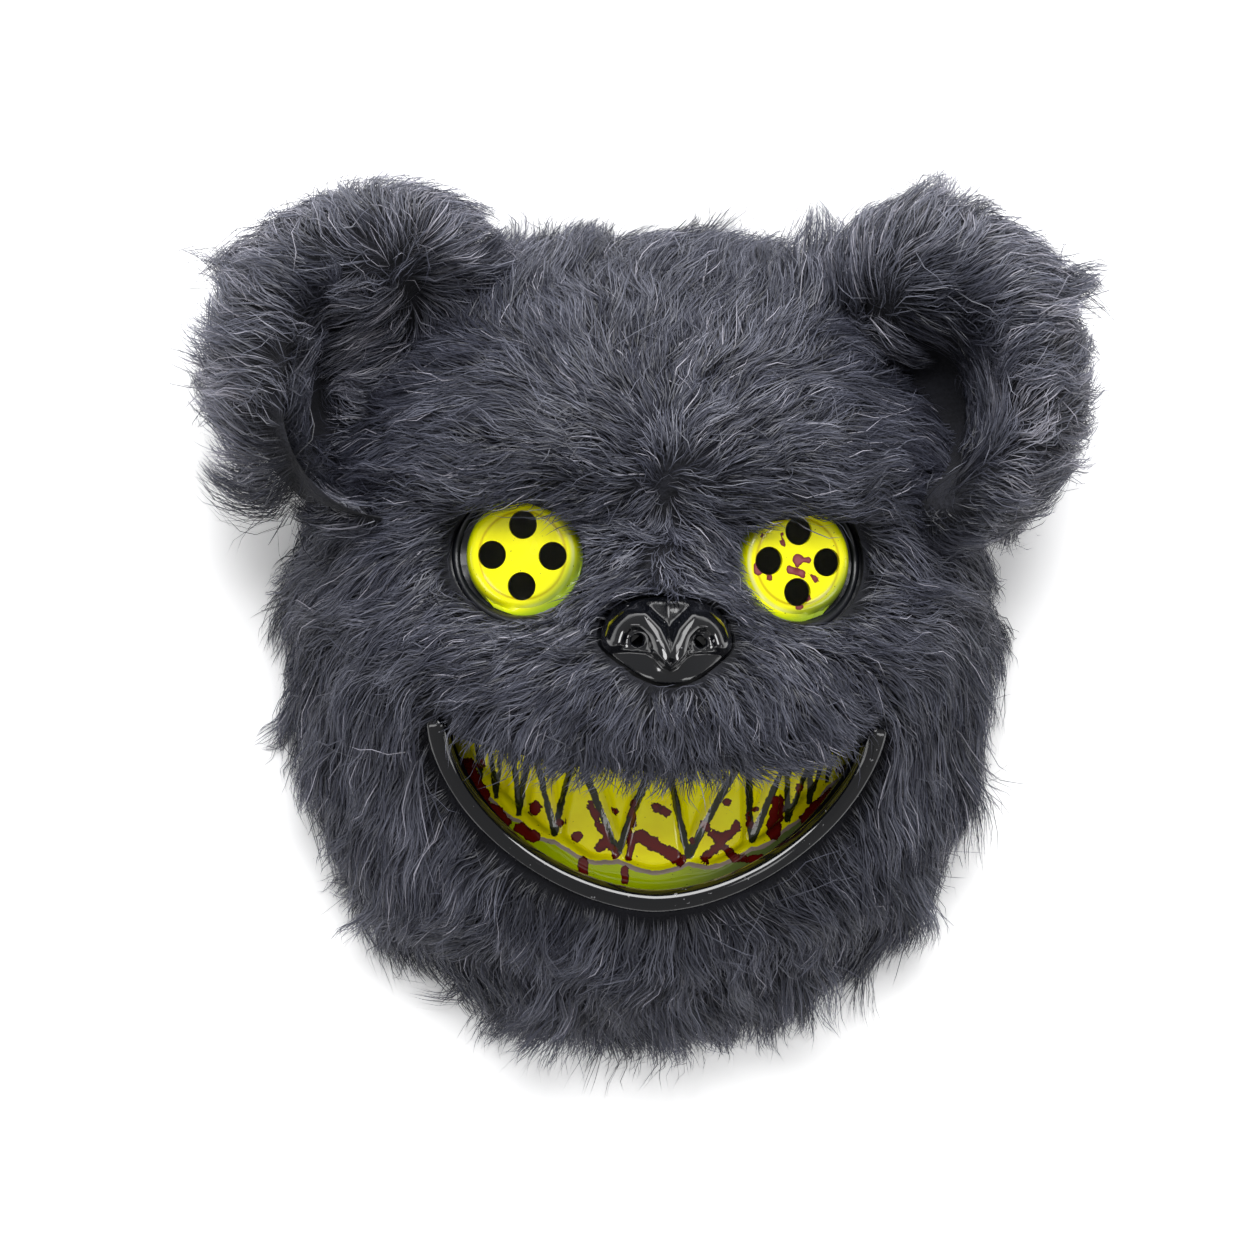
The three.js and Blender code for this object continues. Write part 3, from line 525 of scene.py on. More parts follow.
def nose_height(u, v, nose):
    """How far the nose stands over the face: two round wings, a groove, nostrils and a ledge."""
    side = np.abs(u)
    wide, tall = nose.half_width / UNIT, nose.half_height / UNIT
    across, along = side * wide, v * tall
    taper = nose_taper(v)
    body = np.maximum(0, 1 - (side / taper) ** 2.6 - np.abs(v) ** 2.6) ** 0.13
    wing = run_distance(across, along, [(a * wide, b * tall) for a, b in NOSE_WING])
    ridge = run_distance(across, along, [(a * wide, b * tall) for a, b in NOSE_RIDGE])
    crest = np.interp(side, [a for a, _ in NOSE_RIDGE], [b for _, b in NOSE_RIDGE])
    upper = ease(v, crest - 0.05, crest + 0.12)
    hole = np.hypot((side - NOSTRIL_ACROSS) * wide, (v - NOSTRIL_ALONG) * tall)
    total = mix(4.6, 7.4, upper) + 0.8 * v
    total += 2.6 * np.exp(-((wing / 2.9) ** 4)) * upper
    total -= 0.5 * np.maximum(0, mix(1.0, 7.0, ease(v, -0.5, 0.7)) - across) * upper
    total -= 2.8 * np.exp(-((hole / 3.4) ** 2)) * upper
    total += 0.9 * np.exp(-((ridge / 0.6) ** 2))
    total += 0.7 * np.exp(-(((hole - 2.0) / 0.42) ** 2))
    total -= 1.6 * np.exp(-((side * wide / 0.9) ** 2) - (((v + 0.5) * tall) / 0.9) ** 2)
    return UNIT * (total * body)


# Working with meshes


def deselect():
    """Leaves nothing selected."""
    for obj in list(bpy.context.selected_objects):
        obj.select_set(False)


def only(obj):
    """Selects one object and makes it the active one."""
    deselect()
    obj.select_set(True)
    bpy.context.view_layer.objects.active = obj
    return obj


def fresh(name):
    """Names the primitive that was just added."""
    obj = bpy.context.object
    obj.name = name
    obj.data.name = name
    return obj


def read_points(obj):
    """The vertices of an object as rows, about the middle of the face."""
    flat = np.empty(len(obj.data.vertices) * 3)
    obj.data.vertices.foreach_get("co", flat)
    return flat.reshape(-1, 3)


def write_points(obj, points):
    """Puts an object's vertices where they belong."""
    obj.data.vertices.foreach_set("co", np.ascontiguousarray(points, dtype=np.float32).ravel())
    obj.data.update()


def to_frame(obj):
    """Moves a finished mesh from the middle of the face to its place in the frame."""
    write_points(obj, read_points(obj) + MIDDLE)
    return obj


def apply_modifier(obj, kind, **values):
    """Adds a modifier, sets it and applies it."""
    only(obj)
    modifier = obj.modifiers.new(kind.title(), kind)
    for key, value in values.items():
        setattr(modifier, key, value)
    bpy.ops.object.modifier_apply(modifier=modifier.name)
    return obj


def outward(obj):
    """Merges doubles and turns all faces outwards."""
    only(obj)
    bpy.ops.object.mode_set(mode="EDIT")
    bpy.ops.mesh.select_all(action="SELECT")
    bpy.ops.mesh.remove_doubles(threshold=1e-6)
    bpy.ops.mesh.normals_make_consistent(inside=False)
    bpy.ops.object.mode_set(mode="OBJECT")
    return obj


def smooth(obj, angle=40):
    """Shades a piece smooth up to an angle."""
    only(obj)
    bpy.ops.object.shade_smooth_by_angle(angle=math.radians(angle))
    return obj


def cut(obj, cutter):
    """Takes a cutter out of a piece."""
    apply_modifier(obj, "BOOLEAN", operation="DIFFERENCE", object=cutter, solver="EXACT")
    bpy.data.objects.remove(cutter)


def outline_cutter(outline, low=CUT_LOW, high=CUT_HIGH):
    """A straight cutter with the given outline, between two levels."""
    count = len(outline)
    deselect()
    middle = (0, 0, (low + high) / 2)
    bpy.ops.mesh.primitive_cylinder_add(vertices=count, radius=1, depth=high - low, location=middle)
    cutter = fresh("cutter")
    bpy.ops.object.transform_apply(location=True, rotation=False, scale=False)
    points = read_points(cutter)
    turn = np.arctan2(points[:, 0], points[:, 1]) / (2 * np.pi) * count
    points[:, :2] = outline[np.round(turn).astype(int) % count]
    write_points(cutter, points)
    return outward(cutter)


def circle(x, y, radius, count):
    """The outline of a circle, from its top clockwise."""
    turn = np.linspace(0, 2 * np.pi, count, endpoint=False)
    return np.stack([x + radius * np.sin(turn), y + radius * np.cos(turn)], axis=-1)


def grid(name, across, along):
    """A flat square grid, ready to be shaped, with its u and v from -1 to 1."""
    deselect()
    bpy.ops.mesh.primitive_grid_add(x_subdivisions=across, y_subdivisions=along, size=2)
    obj = fresh(name)
    points = read_points(obj)
    return obj, points[:, 0], points[:, 1]


def store(obj, name, values):
    """Keeps one number for each vertex as an attribute."""
    layer = obj.data.attributes.new(name, "FLOAT", "POINT")
    layer.data.foreach_set("value", np.ascontiguousarray(values, dtype=np.float32))


def hand_over(obj, material, slot, *nodes):
    """Gives a piece its material, hangs it under the root body and hides the packed nodes that it replaces.
    """
    obj.data.materials.clear()
    obj.data.materials.append(material)
    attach(obj, "root")
    if nodes:
        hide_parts(*nodes)
    return obj


def stain_distance(x, y, rows):
    """How deep a place lies in the nearest stain, in millimetres, and below 0 outside."""
    depth = np.full(x.shape, -50.0)
    for across, along, to_across, to_along, radius in rows:
        run = np.array([to_across - across, to_along - along])
        length = max(float(run @ run), 1e-9)
        share = np.clip(((x - across) * run[0] + (y - along) * run[1]) / length, 0, 1)
        gap = np.hypot(x - across - share * run[0], y - along - share * run[1])
        depth = np.maximum(depth, radius - gap)
    return depth


# Shader helpers


def node(tree, kind, **values):
    """Adds a node. Values name its properties, or its inputs with spaces written as underscores."""
    made = tree.nodes.new(kind)
    for key, value in values.items():
        label = key.replace("_", " ")
        if label in made.inputs:
            made.inputs[label].default_value = value
        else:
            setattr(made, key, value)
    return made


def link(tree, source, target):
    """Joins an output to an input."""
    tree.links.new(source, target)
    return target


def new_material(name, **values):
    """A material with a Principled BSDF whose own sockets hold the given values."""
    material = bpy.data.materials.new(name)
    material.use_nodes = True
    tree = material.node_tree
    shader = tree.nodes["Principled BSDF"]
    for key, value in values.items():
        shader.inputs[key.replace("_", " ")].default_value = value
    return material, tree, shader


def new_group(name, inputs, outputs):
    """A shader node group with named sockets, its input node and its output node."""
    tree = bpy.data.node_groups.new(name, "ShaderNodeTree")
    for label, kind, value in inputs:
        socket = tree.interface.new_socket(label, in_out="INPUT", socket_type=kind)
        if value is not None:
            socket.default_value = value
    for label, kind in outputs:
        tree.interface.new_socket(label, in_out="OUTPUT", socket_type=kind)
    return tree, tree.nodes.new("NodeGroupInput"), tree.nodes.new("NodeGroupOutput")


def use_group(tree, group, **values):
    """Places a node group in a material with its own values."""
    made = tree.nodes.new("ShaderNodeGroup")
    made.node_tree = group
    for key, value in values.items():
        made.inputs[key.replace("_", " ")].default_value = value
    return made


def colour(red, green, blue):
    """A colour given as 0 to 255 on a screen, in the values that a shader takes."""
    channels = [c / 255 for c in (red, green, blue)]
    linear = [c / 12.92 if c <= 0.04045 else ((c + 0.055) / 1.055) ** 2.4 for c in channels]
    return (*linear, 1.0)


BLACK = (0.0, 0.0, 0.0, 1.0)
WHITE = (1.0, 1.0, 1.0, 1.0)


def ramp(tree, factor, stops):
    """A colour ramp with the given stops."""
    made = tree.nodes.new("ShaderNodeValToRGB")
    elements = made.color_ramp.elements
    while len(elements) < len(stops):
        elements.new(0.5)
    for element, (place, value) in zip(elements, stops):
        element.position = place
        element.color = value
    link(tree, factor, made.inputs["Fac"])
    return made.outputs["Color"]


def blend_colour(tree, factor, first, second, mode="MIX"):
    """Mixes two colours, each a value or an output."""
    made = node(tree, "ShaderNodeMix", data_type="RGBA", blend_type=mode)
    sockets = [s for s in made.inputs if s.type == "RGBA"]
    for source, socket in zip((first, second), sockets):
        if isinstance(source, bpy.types.NodeSocket):
            link(tree, source, socket)
        else:
            socket.default_value = source
    if isinstance(factor, bpy.types.NodeSocket):
        link(tree, factor, made.inputs[0])
    else:
        made.inputs[0].default_value = factor
    return next(s for s in made.outputs if s.type == "RGBA")


def spread(tree, value, low, high, out_low=0.0, out_high=1.0):
    """Maps a value from one range to another."""
    made = node(tree, "ShaderNodeMapRange")
    limits = (low, high, out_low, out_high)
    for label, limit in zip(("From Min", "From Max", "To Min", "To Max"), limits):
        made.inputs[label].default_value = limit
    link(tree, value, made.inputs["Value"])
    return made.outputs["Result"]


def sums(tree, operation, first, second):
    """A Math node between two values or outputs."""
    made = node(tree, "ShaderNodeMath", operation=operation)
    for source, socket in zip((first, second), made.inputs):
        if isinstance(source, bpy.types.NodeSocket):
            link(tree, source, socket)
        else:
            socket.default_value = source
    return made.outputs["Value"]


def attribute(tree, name, output="Fac"):
    """An attribute of the mesh."""
    return node(tree, "ShaderNodeAttribute", attribute_name=name).outputs[output]


def bump(tree, shader, height, strength, distance):
    """Raises a surface by a height, through the shader's normal."""
    made = node(tree, "ShaderNodeBump", Strength=strength, Distance=distance)
    link(tree, height, made.inputs["Height"])
    link(tree, made.outputs["Normal"], shader.inputs["Normal"])


def object_place(tree):
    """Where a point lies in its object, in metres."""
    return node(tree, "ShaderNodeTexCoord").outputs["Object"]


def noise(tree, scale, detail):
    """An uneven value from 0 to 1, with its scale as a value or an output."""
    made = node(tree, "ShaderNodeTexNoise", Detail=detail)
    link(tree, object_place(tree), made.inputs["Vector"])
    if isinstance(scale, bpy.types.NodeSocket):
        link(tree, scale, made.inputs["Scale"])
    else:
        made.inputs["Scale"].default_value = scale
    return made.outputs["Fac"]


def grain_group():
    """Fine and broad unevenness of a surface: a height and a mask of specks."""
    group = bpy.data.node_groups.get("surface_grain")
    if group:
        return group
    inputs = [
        ("Broad Scale", "NodeSocketFloat", 60.0),
        ("Fine Scale", "NodeSocketFloat", 900.0),
        ("Speck Scale", "NodeSocketFloat", 700.0),
        ("Speck Share", "NodeSocketFloat", 0.72),
    ]
    outputs = [("Height", "NodeSocketFloat"), ("Broad", "NodeSocketFloat"), ("Specks", "NodeSocketFloat")]
    tree, enter, leave = new_group("surface_grain", inputs, outputs)
    broad = noise(tree, enter.outputs["Broad Scale"], 3.0)
    fine = noise(tree, enter.outputs["Fine Scale"], 2.0)
    speck = noise(tree, enter.outputs["Speck Scale"], 1.0)
    height = sums(tree, "ADD", broad, sums(tree, "MULTIPLY", fine, 0.35))
    link(tree, height, leave.inputs["Height"])
    link(tree, broad, leave.inputs["Broad"])
    edge = sums(tree, "SUBTRACT", speck, enter.outputs["Speck Share"])
    link(tree, spread(tree, edge, 0.0, 0.03), leave.inputs["Specks"])
    return tree


def stain_group():
    """Paint with an uneven edge, from how deep a place lies in the stain."""
    group = bpy.data.node_groups.get("paint_stain")
    if group:
        return group
    inputs = [
        ("Depth", "NodeSocketFloat", 0.0),
        ("Wobble", "NodeSocketFloat", 0.8),
        ("Scale", "NodeSocketFloat", 500.0),
    ]
    tree, enter, leave = new_group(
        "paint_stain", inputs, [("Mask", "NodeSocketFloat"), ("Edge", "NodeSocketFloat")]
    )
    uneven = noise(tree, enter.outputs["Scale"], 4.0)
    wave = sums(tree, "MULTIPLY", sums(tree, "SUBTRACT", uneven, 0.5), enter.outputs["Wobble"])
    depth = sums(tree, "ADD", enter.outputs["Depth"], wave)
    link(tree, spread(tree, depth, -0.06, 0.06), leave.inputs["Mask"])
    link(tree, spread(tree, depth, 0.7, 0.05), leave.inputs["Edge"])
    return tree


# Finishes


def fur_finish(settings):
    """Single fibres, each with its own tone and a few painted glints, darkened towards the root as painted
    shade deep in the pile, with a soft sheen.
    """
    material, tree, shader = new_material("plush_fibre", Roughness=0.42, Specular_IOR_Level=0.4)
    split = node(tree, "ShaderNodeSeparateColor")
    link(tree, attribute(tree, "strand", "Color"), split.inputs["Color"])
    along, tone = split.outputs["Red"], split.outputs["Green"]
    fibre = ramp(
        tree,
        tone,
        [(0.0, settings.dark), (0.45, settings.middle), (0.8, settings.light), (1.0, settings.bright)],
    )
    # Painted shade: each fibre is darkened towards its root, where it lies deep in the pile.
    root = spread(tree, along, 0.0, 0.85, 0.14, 1.0)
    shaded = blend_colour(tree, 1.0, fibre, root, "MULTIPLY")
    link(tree, shaded, shader.inputs["Base Color"])
    return material


def pelt_finish(settings):
    """The knitted backing under the pile."""
    material, tree, shader = new_material("plush_backing", Roughness=0.95)
    grain = use_group(tree, grain_group(), Broad_Scale=90.0, Fine_Scale=1400.0)
    knit = node(tree, "ShaderNodeTexVoronoi", Scale=900.0)
    link(tree, object_place(tree), knit.inputs["Vector"])
    tones = [(0.35, colour(8, 9, 13)), (0.9, settings.dark)]
    link(tree, ramp(tree, grain.outputs["Height"], tones), shader.inputs["Base Color"])
    bump(tree, shader, knit.outputs["Distance"], 0.6, 0.0006)
    return material


def shell_finish():
    """Thin black plastic drawn over a mould: gloss with slow waves and a few dull patches."""
    material, tree, shader = new_material("shell_plastic", Coat_Weight=0.15, Coat_Roughness=0.15)
    grain = use_group(tree, grain_group(), Broad_Scale=45.0, Fine_Scale=1200.0)
    base = ramp(tree, grain.outputs["Broad"], [(0.3, colour(7, 9, 14)), (0.75, colour(20, 22, 28))])
    link(tree, base, shader.inputs["Base Color"])
    link(tree, spread(tree, grain.outputs["Broad"], 0.3, 0.7, 0.26, 0.44), shader.inputs["Roughness"])
    bump(tree, shader, grain.outputs["Height"], 0.12, 0.0008)
    return material


def gloss_finish(name, specks, coat):
    """High gloss black paint with a little dust and a trace of the mould."""
    material, tree, shader = new_material(name, Coat_Weight=coat, Coat_Roughness=0.04, IOR=1.42)
    grain = use_group(tree, grain_group(), Broad_Scale=55.0, Fine_Scale=900.0, Speck_Share=specks)
    base = blend_colour(tree, grain.outputs["Specks"], colour(6, 7, 11), colour(120, 120, 122))
    link(tree, base, shader.inputs["Base Color"])
    link(tree, spread(tree, grain.outputs["Specks"], 0, 1, 0.12, 0.5), shader.inputs["Roughness"])
    bump(tree, shader, grain.outputs["Height"], 0.05, 0.0006)
    return material


def lens_finish(lens):
    """Yellow plastic: lime at the shoulder, olive painted shade where it turns from the light, a painted
    highlight arc on the nose side, with stains.
    """
    material, tree, shader = new_material("yellow_lens", Coat_Weight=0.5, Coat_Roughness=0.04)
    face = ramp(
        tree,
        attribute(tree, "reach"),
        [
            (0.0, lens.yellow),
            (0.69, lens.yellow),
            (0.725, colour(214, 190, 0)),
            (0.76, lens.yellow),
            (0.9, colour(226, 228, 0)),
            (0.96, lens.lime),
            (0.995, colour(96, 116, 10)),
        ],
    )
    grain = use_group(tree, grain_group(), Broad_Scale=70.0, Speck_Scale=1500.0, Speck_Share=0.76)
    # Painted highlight: a pale arc near the rim on the nose side, standing for a reflection.
    arc = ramp(tree, attribute(tree, "reach"), [(0.8, BLACK), (0.85, WHITE), (0.88, BLACK)])
    painted_highlight = sums(tree, "MULTIPLY", arc, attribute(tree, "painted_highlight"))
    face = blend_colour(tree, painted_highlight, face, colour(240, 240, 170))
    # Olive painted shade on the shoulder's side that turns from the light.
    face = blend_colour(tree, attribute(tree, "shade"), face, lens.olive)
    face = blend_colour(tree, grain.outputs["Specks"], face, colour(60, 60, 12))
    stain = use_group(tree, stain_group(), Wobble=0.9, Scale=420.0)
    link(tree, attribute(tree, "stain"), stain.inputs["Depth"])
    paint = blend_colour(tree, stain.outputs["Edge"], lens.stain, colour(104, 20, 22))
    face = blend_colour(tree, stain.outputs["Mask"], face, paint)
    link(tree, face, shader.inputs["Base Color"])
    link(tree, spread(tree, grain.outputs["Broad"], 0.3, 0.7, 0.12, 0.28), shader.inputs["Roughness"])
    bump(tree, shader, grain.outputs["Height"], 0.05, 0.0005)
    return material


def tooth_finish(grin):
    """Painted teeth: yellow crowns, dark grooves, a grey ridge, a lime gum with olive painted shade, a
    painted shadow at the grin's corners and red runs.
    """
    material, tree, shader = new_material("painted_teeth", Coat_Weight=0.5, Coat_Roughness=0.05)
    grain = use_group(tree, grain_group(), Broad_Scale=110.0, Speck_Scale=1300.0, Speck_Share=0.75)
    crown = ramp(tree, grain.outputs["Broad"], [(0.35, grin.yellow), (0.75, colour(246, 230, 0))])
    wave = sums(tree, "SUBTRACT", noise(tree, 420.0, 2.0), 0.5)
    gum_depth = sums(tree, "ADD", attribute(tree, "gum"), wave)
    # The gum goes from lime to olive painted shade towards its right and lower side.
    gum = blend_colour(tree, attribute(tree, "turned"), grin.lime, grin.olive)
    paint = blend_colour(tree, spread(tree, gum_depth, 0.1, -0.1), crown, gum)
    ridge = spread(tree, sums(tree, "ABSOLUTE", gum_depth, 0.0), 0.75, 0.5)
    paint = blend_colour(tree, ridge, paint, colour(150, 134, 126))
    groove = spread(tree, sums(tree, "ADD", attribute(tree, "groove"), wave), -0.08, 0.12)
    paint = blend_colour(tree, groove, paint, colour(40, 43, 22))
    paint = blend_colour(tree, grain.outputs["Specks"], paint, colour(24, 24, 10))
    stain = use_group(tree, stain_group(), Wobble=3.2, Scale=420.0)
    link(tree, attribute(tree, "stain"), stain.inputs["Depth"])
    red = blend_colour(tree, stain.outputs["Edge"], grin.stain, colour(64, 9, 8))
    paint = blend_colour(tree, stain.outputs["Mask"], paint, red)
    paint = blend_colour(tree, attribute(tree, "shadow"), paint, colour(10, 12, 10))
    link(tree, paint, shader.inputs["Base Color"])
    link(tree, spread(tree, grain.outputs["Broad"], 0.3, 0.7, 0.1, 0.26), shader.inputs["Roughness"])
    bump(tree, shader, sums(tree, "ADD", grain.outputs["Height"], stain.outputs["Mask"]), 0.12, 0.0006)
    return material


def floor_finish():
    """A plain pale floor with the faintest mottling, and a painted glow outside the mask's rim that washes
    out the mask's shadow.
    """
    material, tree, shader = new_material("studio_floor", Roughness=0.8)
    grain = use_group(tree, grain_group(), Broad_Scale=6.0, Fine_Scale=400.0)
    pale = ramp(tree, grain.outputs["Broad"], [(0.3, colour(246, 246, 247)), (0.7, colour(250, 250, 250))])
    link(tree, pale, shader.inputs["Base Color"])
    link(tree, pale, shader.inputs["Emission Color"])
    # Painted light: the floor glows from nothing near the middle to full strength past the mask's rim,
    # hiding its cast shadow.
    away = node(tree, "ShaderNodeVectorMath", operation="LENGTH")
    link(tree, object_place(tree), away.inputs[0])
    glow = spread(tree, away.outputs["Value"], 0.085, 0.125, 0.0, 0.32)
    link(tree, glow, shader.inputs["Emission Strength"])
    return material


# Settings


def number_setting(name, description, value, **kind):
    """A number that a user may set."""
    return bpy.props.FloatProperty(name=name, description=description, default=value, **kind)


def length_setting(name, description, millimetres):
    """A length that a user may set."""
    return number_setting(name, description, millimetres * UNIT, min=0, unit="LENGTH", precision=4)


def place_setting(name, description, millimetres):
    """A place along an axis that a user may set."""
    return number_setting(name, description, millimetres * UNIT, unit="LENGTH", precision=4)


def share_setting(name, description, value):
    """A share from 0 to 1."""
    return number_setting(name, description, value, min=0, max=1, subtype="FACTOR")


def angle_setting(name, description, degrees):
    """A turn that a user may set."""
    return number_setting(name, description, math.radians(degrees), subtype="ANGLE")


def power_setting(name, description, watts):
    """The power of a light."""
    return number_setting(name, description, watts, unit="POWER")


def amount_setting(name, description, value, least):
    """A whole number that a user may set."""
    return bpy.props.IntProperty(name=name, description=description, default=value, min=least)


def tint_setting(name, description, value):
    """A colour."""
    return bpy.props.FloatVectorProperty(
        name=name, description=description, default=value, size=4, min=0, max=1, subtype="COLOR"
    )


class MaskFurSettings(bpy.types.PropertyGroup):
    """The plush cover and its pile."""

    pelt_wall: length_setting("Backing Wall", "Thickness of the knitted backing", 3.0)
    fit: length_setting("Fit Gap", "Gap between the plastic and the plush", 0.4)
    flap: length_setting("Brow Flap", "How far the brow's plush is lifted over the lenses", 3.2)
    hem: length_setting("Hem", "The hem's height above the rim", 0.6)
    fibre: length_setting("Fibre Width", "Width of one fibre", 0.3)
    curl: length_setting("Curl", "How far a fibre waves to the side", 0.9)
    head_count: amount_setting("Head Fibres", "Fibres on the face", 96000, 1000)
    ear_count: amount_setting("Ear Fibres", "Fibres on each ear", 19000, 500)
    clumping: share_setting("Clumping", "How far the tips of a clump draw together", 0.5)
    ear_tone: share_setting("Ear Tone", "How much lighter the ears are", 0.24)
    dark: tint_setting("Dark", "The darkest fibres", colour(26, 27, 36))
    middle: tint_setting("Middle", "Most fibres", colour(72, 74, 88))
    light: tint_setting("Light", "The lighter fibres", colour(118, 120, 134))
    # Painted highlight: the colour of the few fibres that stand for glints of light.
    bright: tint_setting("Bright", "A few fibres that catch the light", colour(174, 172, 184))


class MaskShellSettings(bpy.types.PropertyGroup):
    """The plastic face and its lip."""

    wall: length_setting("Wall", "Thickness of the drawn plastic", 1.8)
    socket_rise: length_setting("Socket Ring", "Height of the ring round each lens", 1.2)
    lip_radius: length_setting("Lip Radius", "Radius of the bead below the grin", 3.0)


class MaskLensSettings(bpy.types.PropertyGroup):
    """The pierced lenses."""

    offset: length_setting("Offset", "From the middle of the face to a lens", 37.5)
    height: place_setting("Height", "The lenses above the middle of the face", 17)
    radius: length_setting("Radius", "Radius of a lens", 16.4)
    standing: length_setting("Standing", "The lens's face above the shell", 10.5)
    wall: length_setting("Wall", "Thickness of a lens", 1.3)
    socket: length_setting("Socket", "From the lens's edge to the plush", 2.0)
    tilt: angle_setting("Tilt", "How far a lens turns outwards", 13)
    hole_radius: length_setting("Hole Radius", "Radius of a sight hole", 3.85)
    hole_circle: length_setting("Hole Circle", "From the lens's middle to a sight hole", 8.3)
    yellow: tint_setting("Yellow", "The lens's face", colour(255, 250, 0))
    lime: tint_setting("Lime", "The lens's shoulder", colour(186, 202, 0))
    # The colour of the painted shade on the shoulder.
    olive: tint_setting("Olive", "Where the shoulder turns from the light", colour(122, 146, 40))
    stain: tint_setting("Stain", "Dried red paint", colour(142, 74, 78))


class MaskGrinSettings(bpy.types.PropertyGroup):
    """The grin and its teeth."""

    height: place_setting("Height", "The corners of the grin above the middle of the face", -27)
    half_width: length_setting("Half Width", "From the middle to a corner of the grin", 58.5)
    drop: length_setting("Drop", "How far the lower lip hangs below the corners", 48.8)
    fullness: number_setting("Fullness", "2 for an ellipse, less for a leaner grin", 1.75)
    upper_drop: length_setting("Upper Drop", "How far the upper lip hangs below the corners", 13)
    plate_wall: length_setting("Plate Wall", "Thickness of the tooth plate", 1.5)
    set_back: length_setting("Set Back", "From the shell's inside to the teeth", 2.2)
    relief: length_setting("Relief", "Height of the teeth over their grooves", 2.4)
    yellow: tint_setting("Yellow", "The crowns", colour(255, 248, 0))
    # The gum's colour in the light and the colour of its painted shade.
    lime: tint_setting("Lime", "The gum in the light", colour(168, 188, 0))
    olive: tint_setting("Olive", "The gum where it turns away", colour(96, 112, 58))
    stain: tint_setting("Stain", "Red paint", colour(100, 16, 13))


class MaskNoseSettings(bpy.types.PropertyGroup):
    """The nose."""

    height: place_setting("Height", "The nose's middle above the middle of the face", -5)
    half_width: length_setting("Half Width", "Half the nose's width", 17.5)
    half_height: length_setting("Half Height", "Half the nose's height", 11.5)
    standing: length_setting("Standing", "How far the nose stands out", 13)
    edge: length_setting("Edge", "The trimmed edge's height", 1.6)
    nostril: length_setting("Nostril", "Radius of a nostril's hole", 1.5)


class MaskStudioSettings(bpy.types.PropertyGroup):
    """The floor, the lights and the camera."""

    distance: number_setting("Distance", "Camera to the eyes", 1.2, unit="LENGTH")
    lean: angle_setting("Lean", "How far the camera looks from the left", 4.5)
    roll: angle_setting("Roll", "How far the camera is turned", 1.2)
    span: number_setting("Span", "What the picture takes in at the eyes", 0.34, unit="LENGTH")
    key: power_setting("Key Light", "Power of the main softbox", 23)
    top: power_setting("Top Light", "Power of the low softbox", 9)
    fill: power_setting("Fill Light", "Power of each side softbox", 3.5)
    sky: number_setting("Room", "Strength of the pale room", 0.32)


SETTINGS = {
    "mask_fur": MaskFurSettings,
    "mask_shell": MaskShellSettings,
    "mask_lens": MaskLensSettings,
    "mask_grin": MaskGrinSettings,
    "mask_nose": MaskNoseSettings,
    "mask_studio": MaskStudioSettings,
}


# Plush


def pelt_offset(fur):
    """How far the backing's outer side lies off the plastic, lifted where the brow covers a lens."""

    def offset(x, y):
        lift = np.zeros_like(x)
        for side in (-1, 1):
            across = (x - side * BROW_MIDDLE) / (17 * UNIT)
            along = (y - brow_edge(side, x)) / (6 * UNIT)
            lift += np.exp(-(across**2) - along**2)
        return fur.fit + fur.pelt_wall + fur.flap * lift

    return offset


def skin_of_head(scene, across=150):
    """The surface that the fur of the face lies on: the backing, the lenses and the nose."""
    steps = np.linspace(-1, 1, across + 1)
    u, v = np.meshgrid(steps, steps, indexing="ij")
    points = face_surface(u.ravel(), v.ravel(), pelt_offset(scene.mask_fur))
    lens = scene.mask_lens
    nose = scene.mask_nose
    x, y = points[:, 0], points[:, 1]
    for side in (-1, 1):
        middle = lens_middle(side, lens)
        near = np.hypot(x - middle[0], y - middle[1]) < lens.radius
        level = lens_level(side, lens, x) + 0.3 * UNIT
        points[:, 2] = np.where(near, np.maximum(points[:, 2], level), points[:, 2])
    inside = nose_depth(x, y, nose) > 0
    level = face_height(x, y) + nose.edge
    level += nose_height(x / nose.half_width, (y - nose.height) / nose.half_height, nose)
    points[:, 2] = np.where(inside, np.maximum(points[:, 2], level), points[:, 2])
    index = np.arange((across + 1) ** 2).reshape(across + 1, across + 1)
    corners = [index[:-1, :-1], index[1:, :-1], index[1:, 1:], index[:-1, 1:]]
    quads = np.stack([c.ravel() for c in corners], axis=-1)
    return points, np.concatenate([quads[:, [0, 1, 2]], quads[:, [0, 2, 3]]])


def scatter(points, triangles, count, random):
    """Places spread evenly over a surface, with the surface's normal at each."""
    a, b, c = (points[triangles[:, i]] for i in range(3))
    normal = np.cross(b - a, c - a)
    area = np.linalg.norm(normal, axis=1)
    chosen = random.choice(len(triangles), size=count, p=area / area.sum())
    s, t = random.random((2, count, 1))
    over = s + t > 1
    s, t = np.where(over, 1 - s, s), np.where(over, 1 - t, t)
    places = a[chosen] + (b - a)[chosen] * s + (c - a)[chosen] * t
    return places, unit(normal[chosen])


def read_flow(rows, points):
    """Heading as a direction, length, pile and looseness at each place, from the nearest rows."""
    x = points[:, 0] / HALF_WIDTH
    y = points[:, 1] / TO_CROWN
    total = np.zeros((len(points), 1))
    found = np.zeros((len(points), 5))
    for side, across, along, heading, long, pile, loose in rows:
        for hand in (side,) if side else (-1, 1):
            gap = (x - hand * across) ** 2 + (y - along) ** 2
            weight = np.exp(-gap / (2 * FLOW_REACH**2)) + 1e-5 / (gap + 0.02)
            turn = math.radians(heading)
            row = (hand * math.sin(turn), math.cos(turn), long, pile, loose)
            found += weight[:, None] * np.array(row)
            total += weight[:, None]
    found /= total
    heading = unit(found[:, :2])
    return heading, found[:, 2] * UNIT, found[:, 3] * UNIT, found[:, 4]


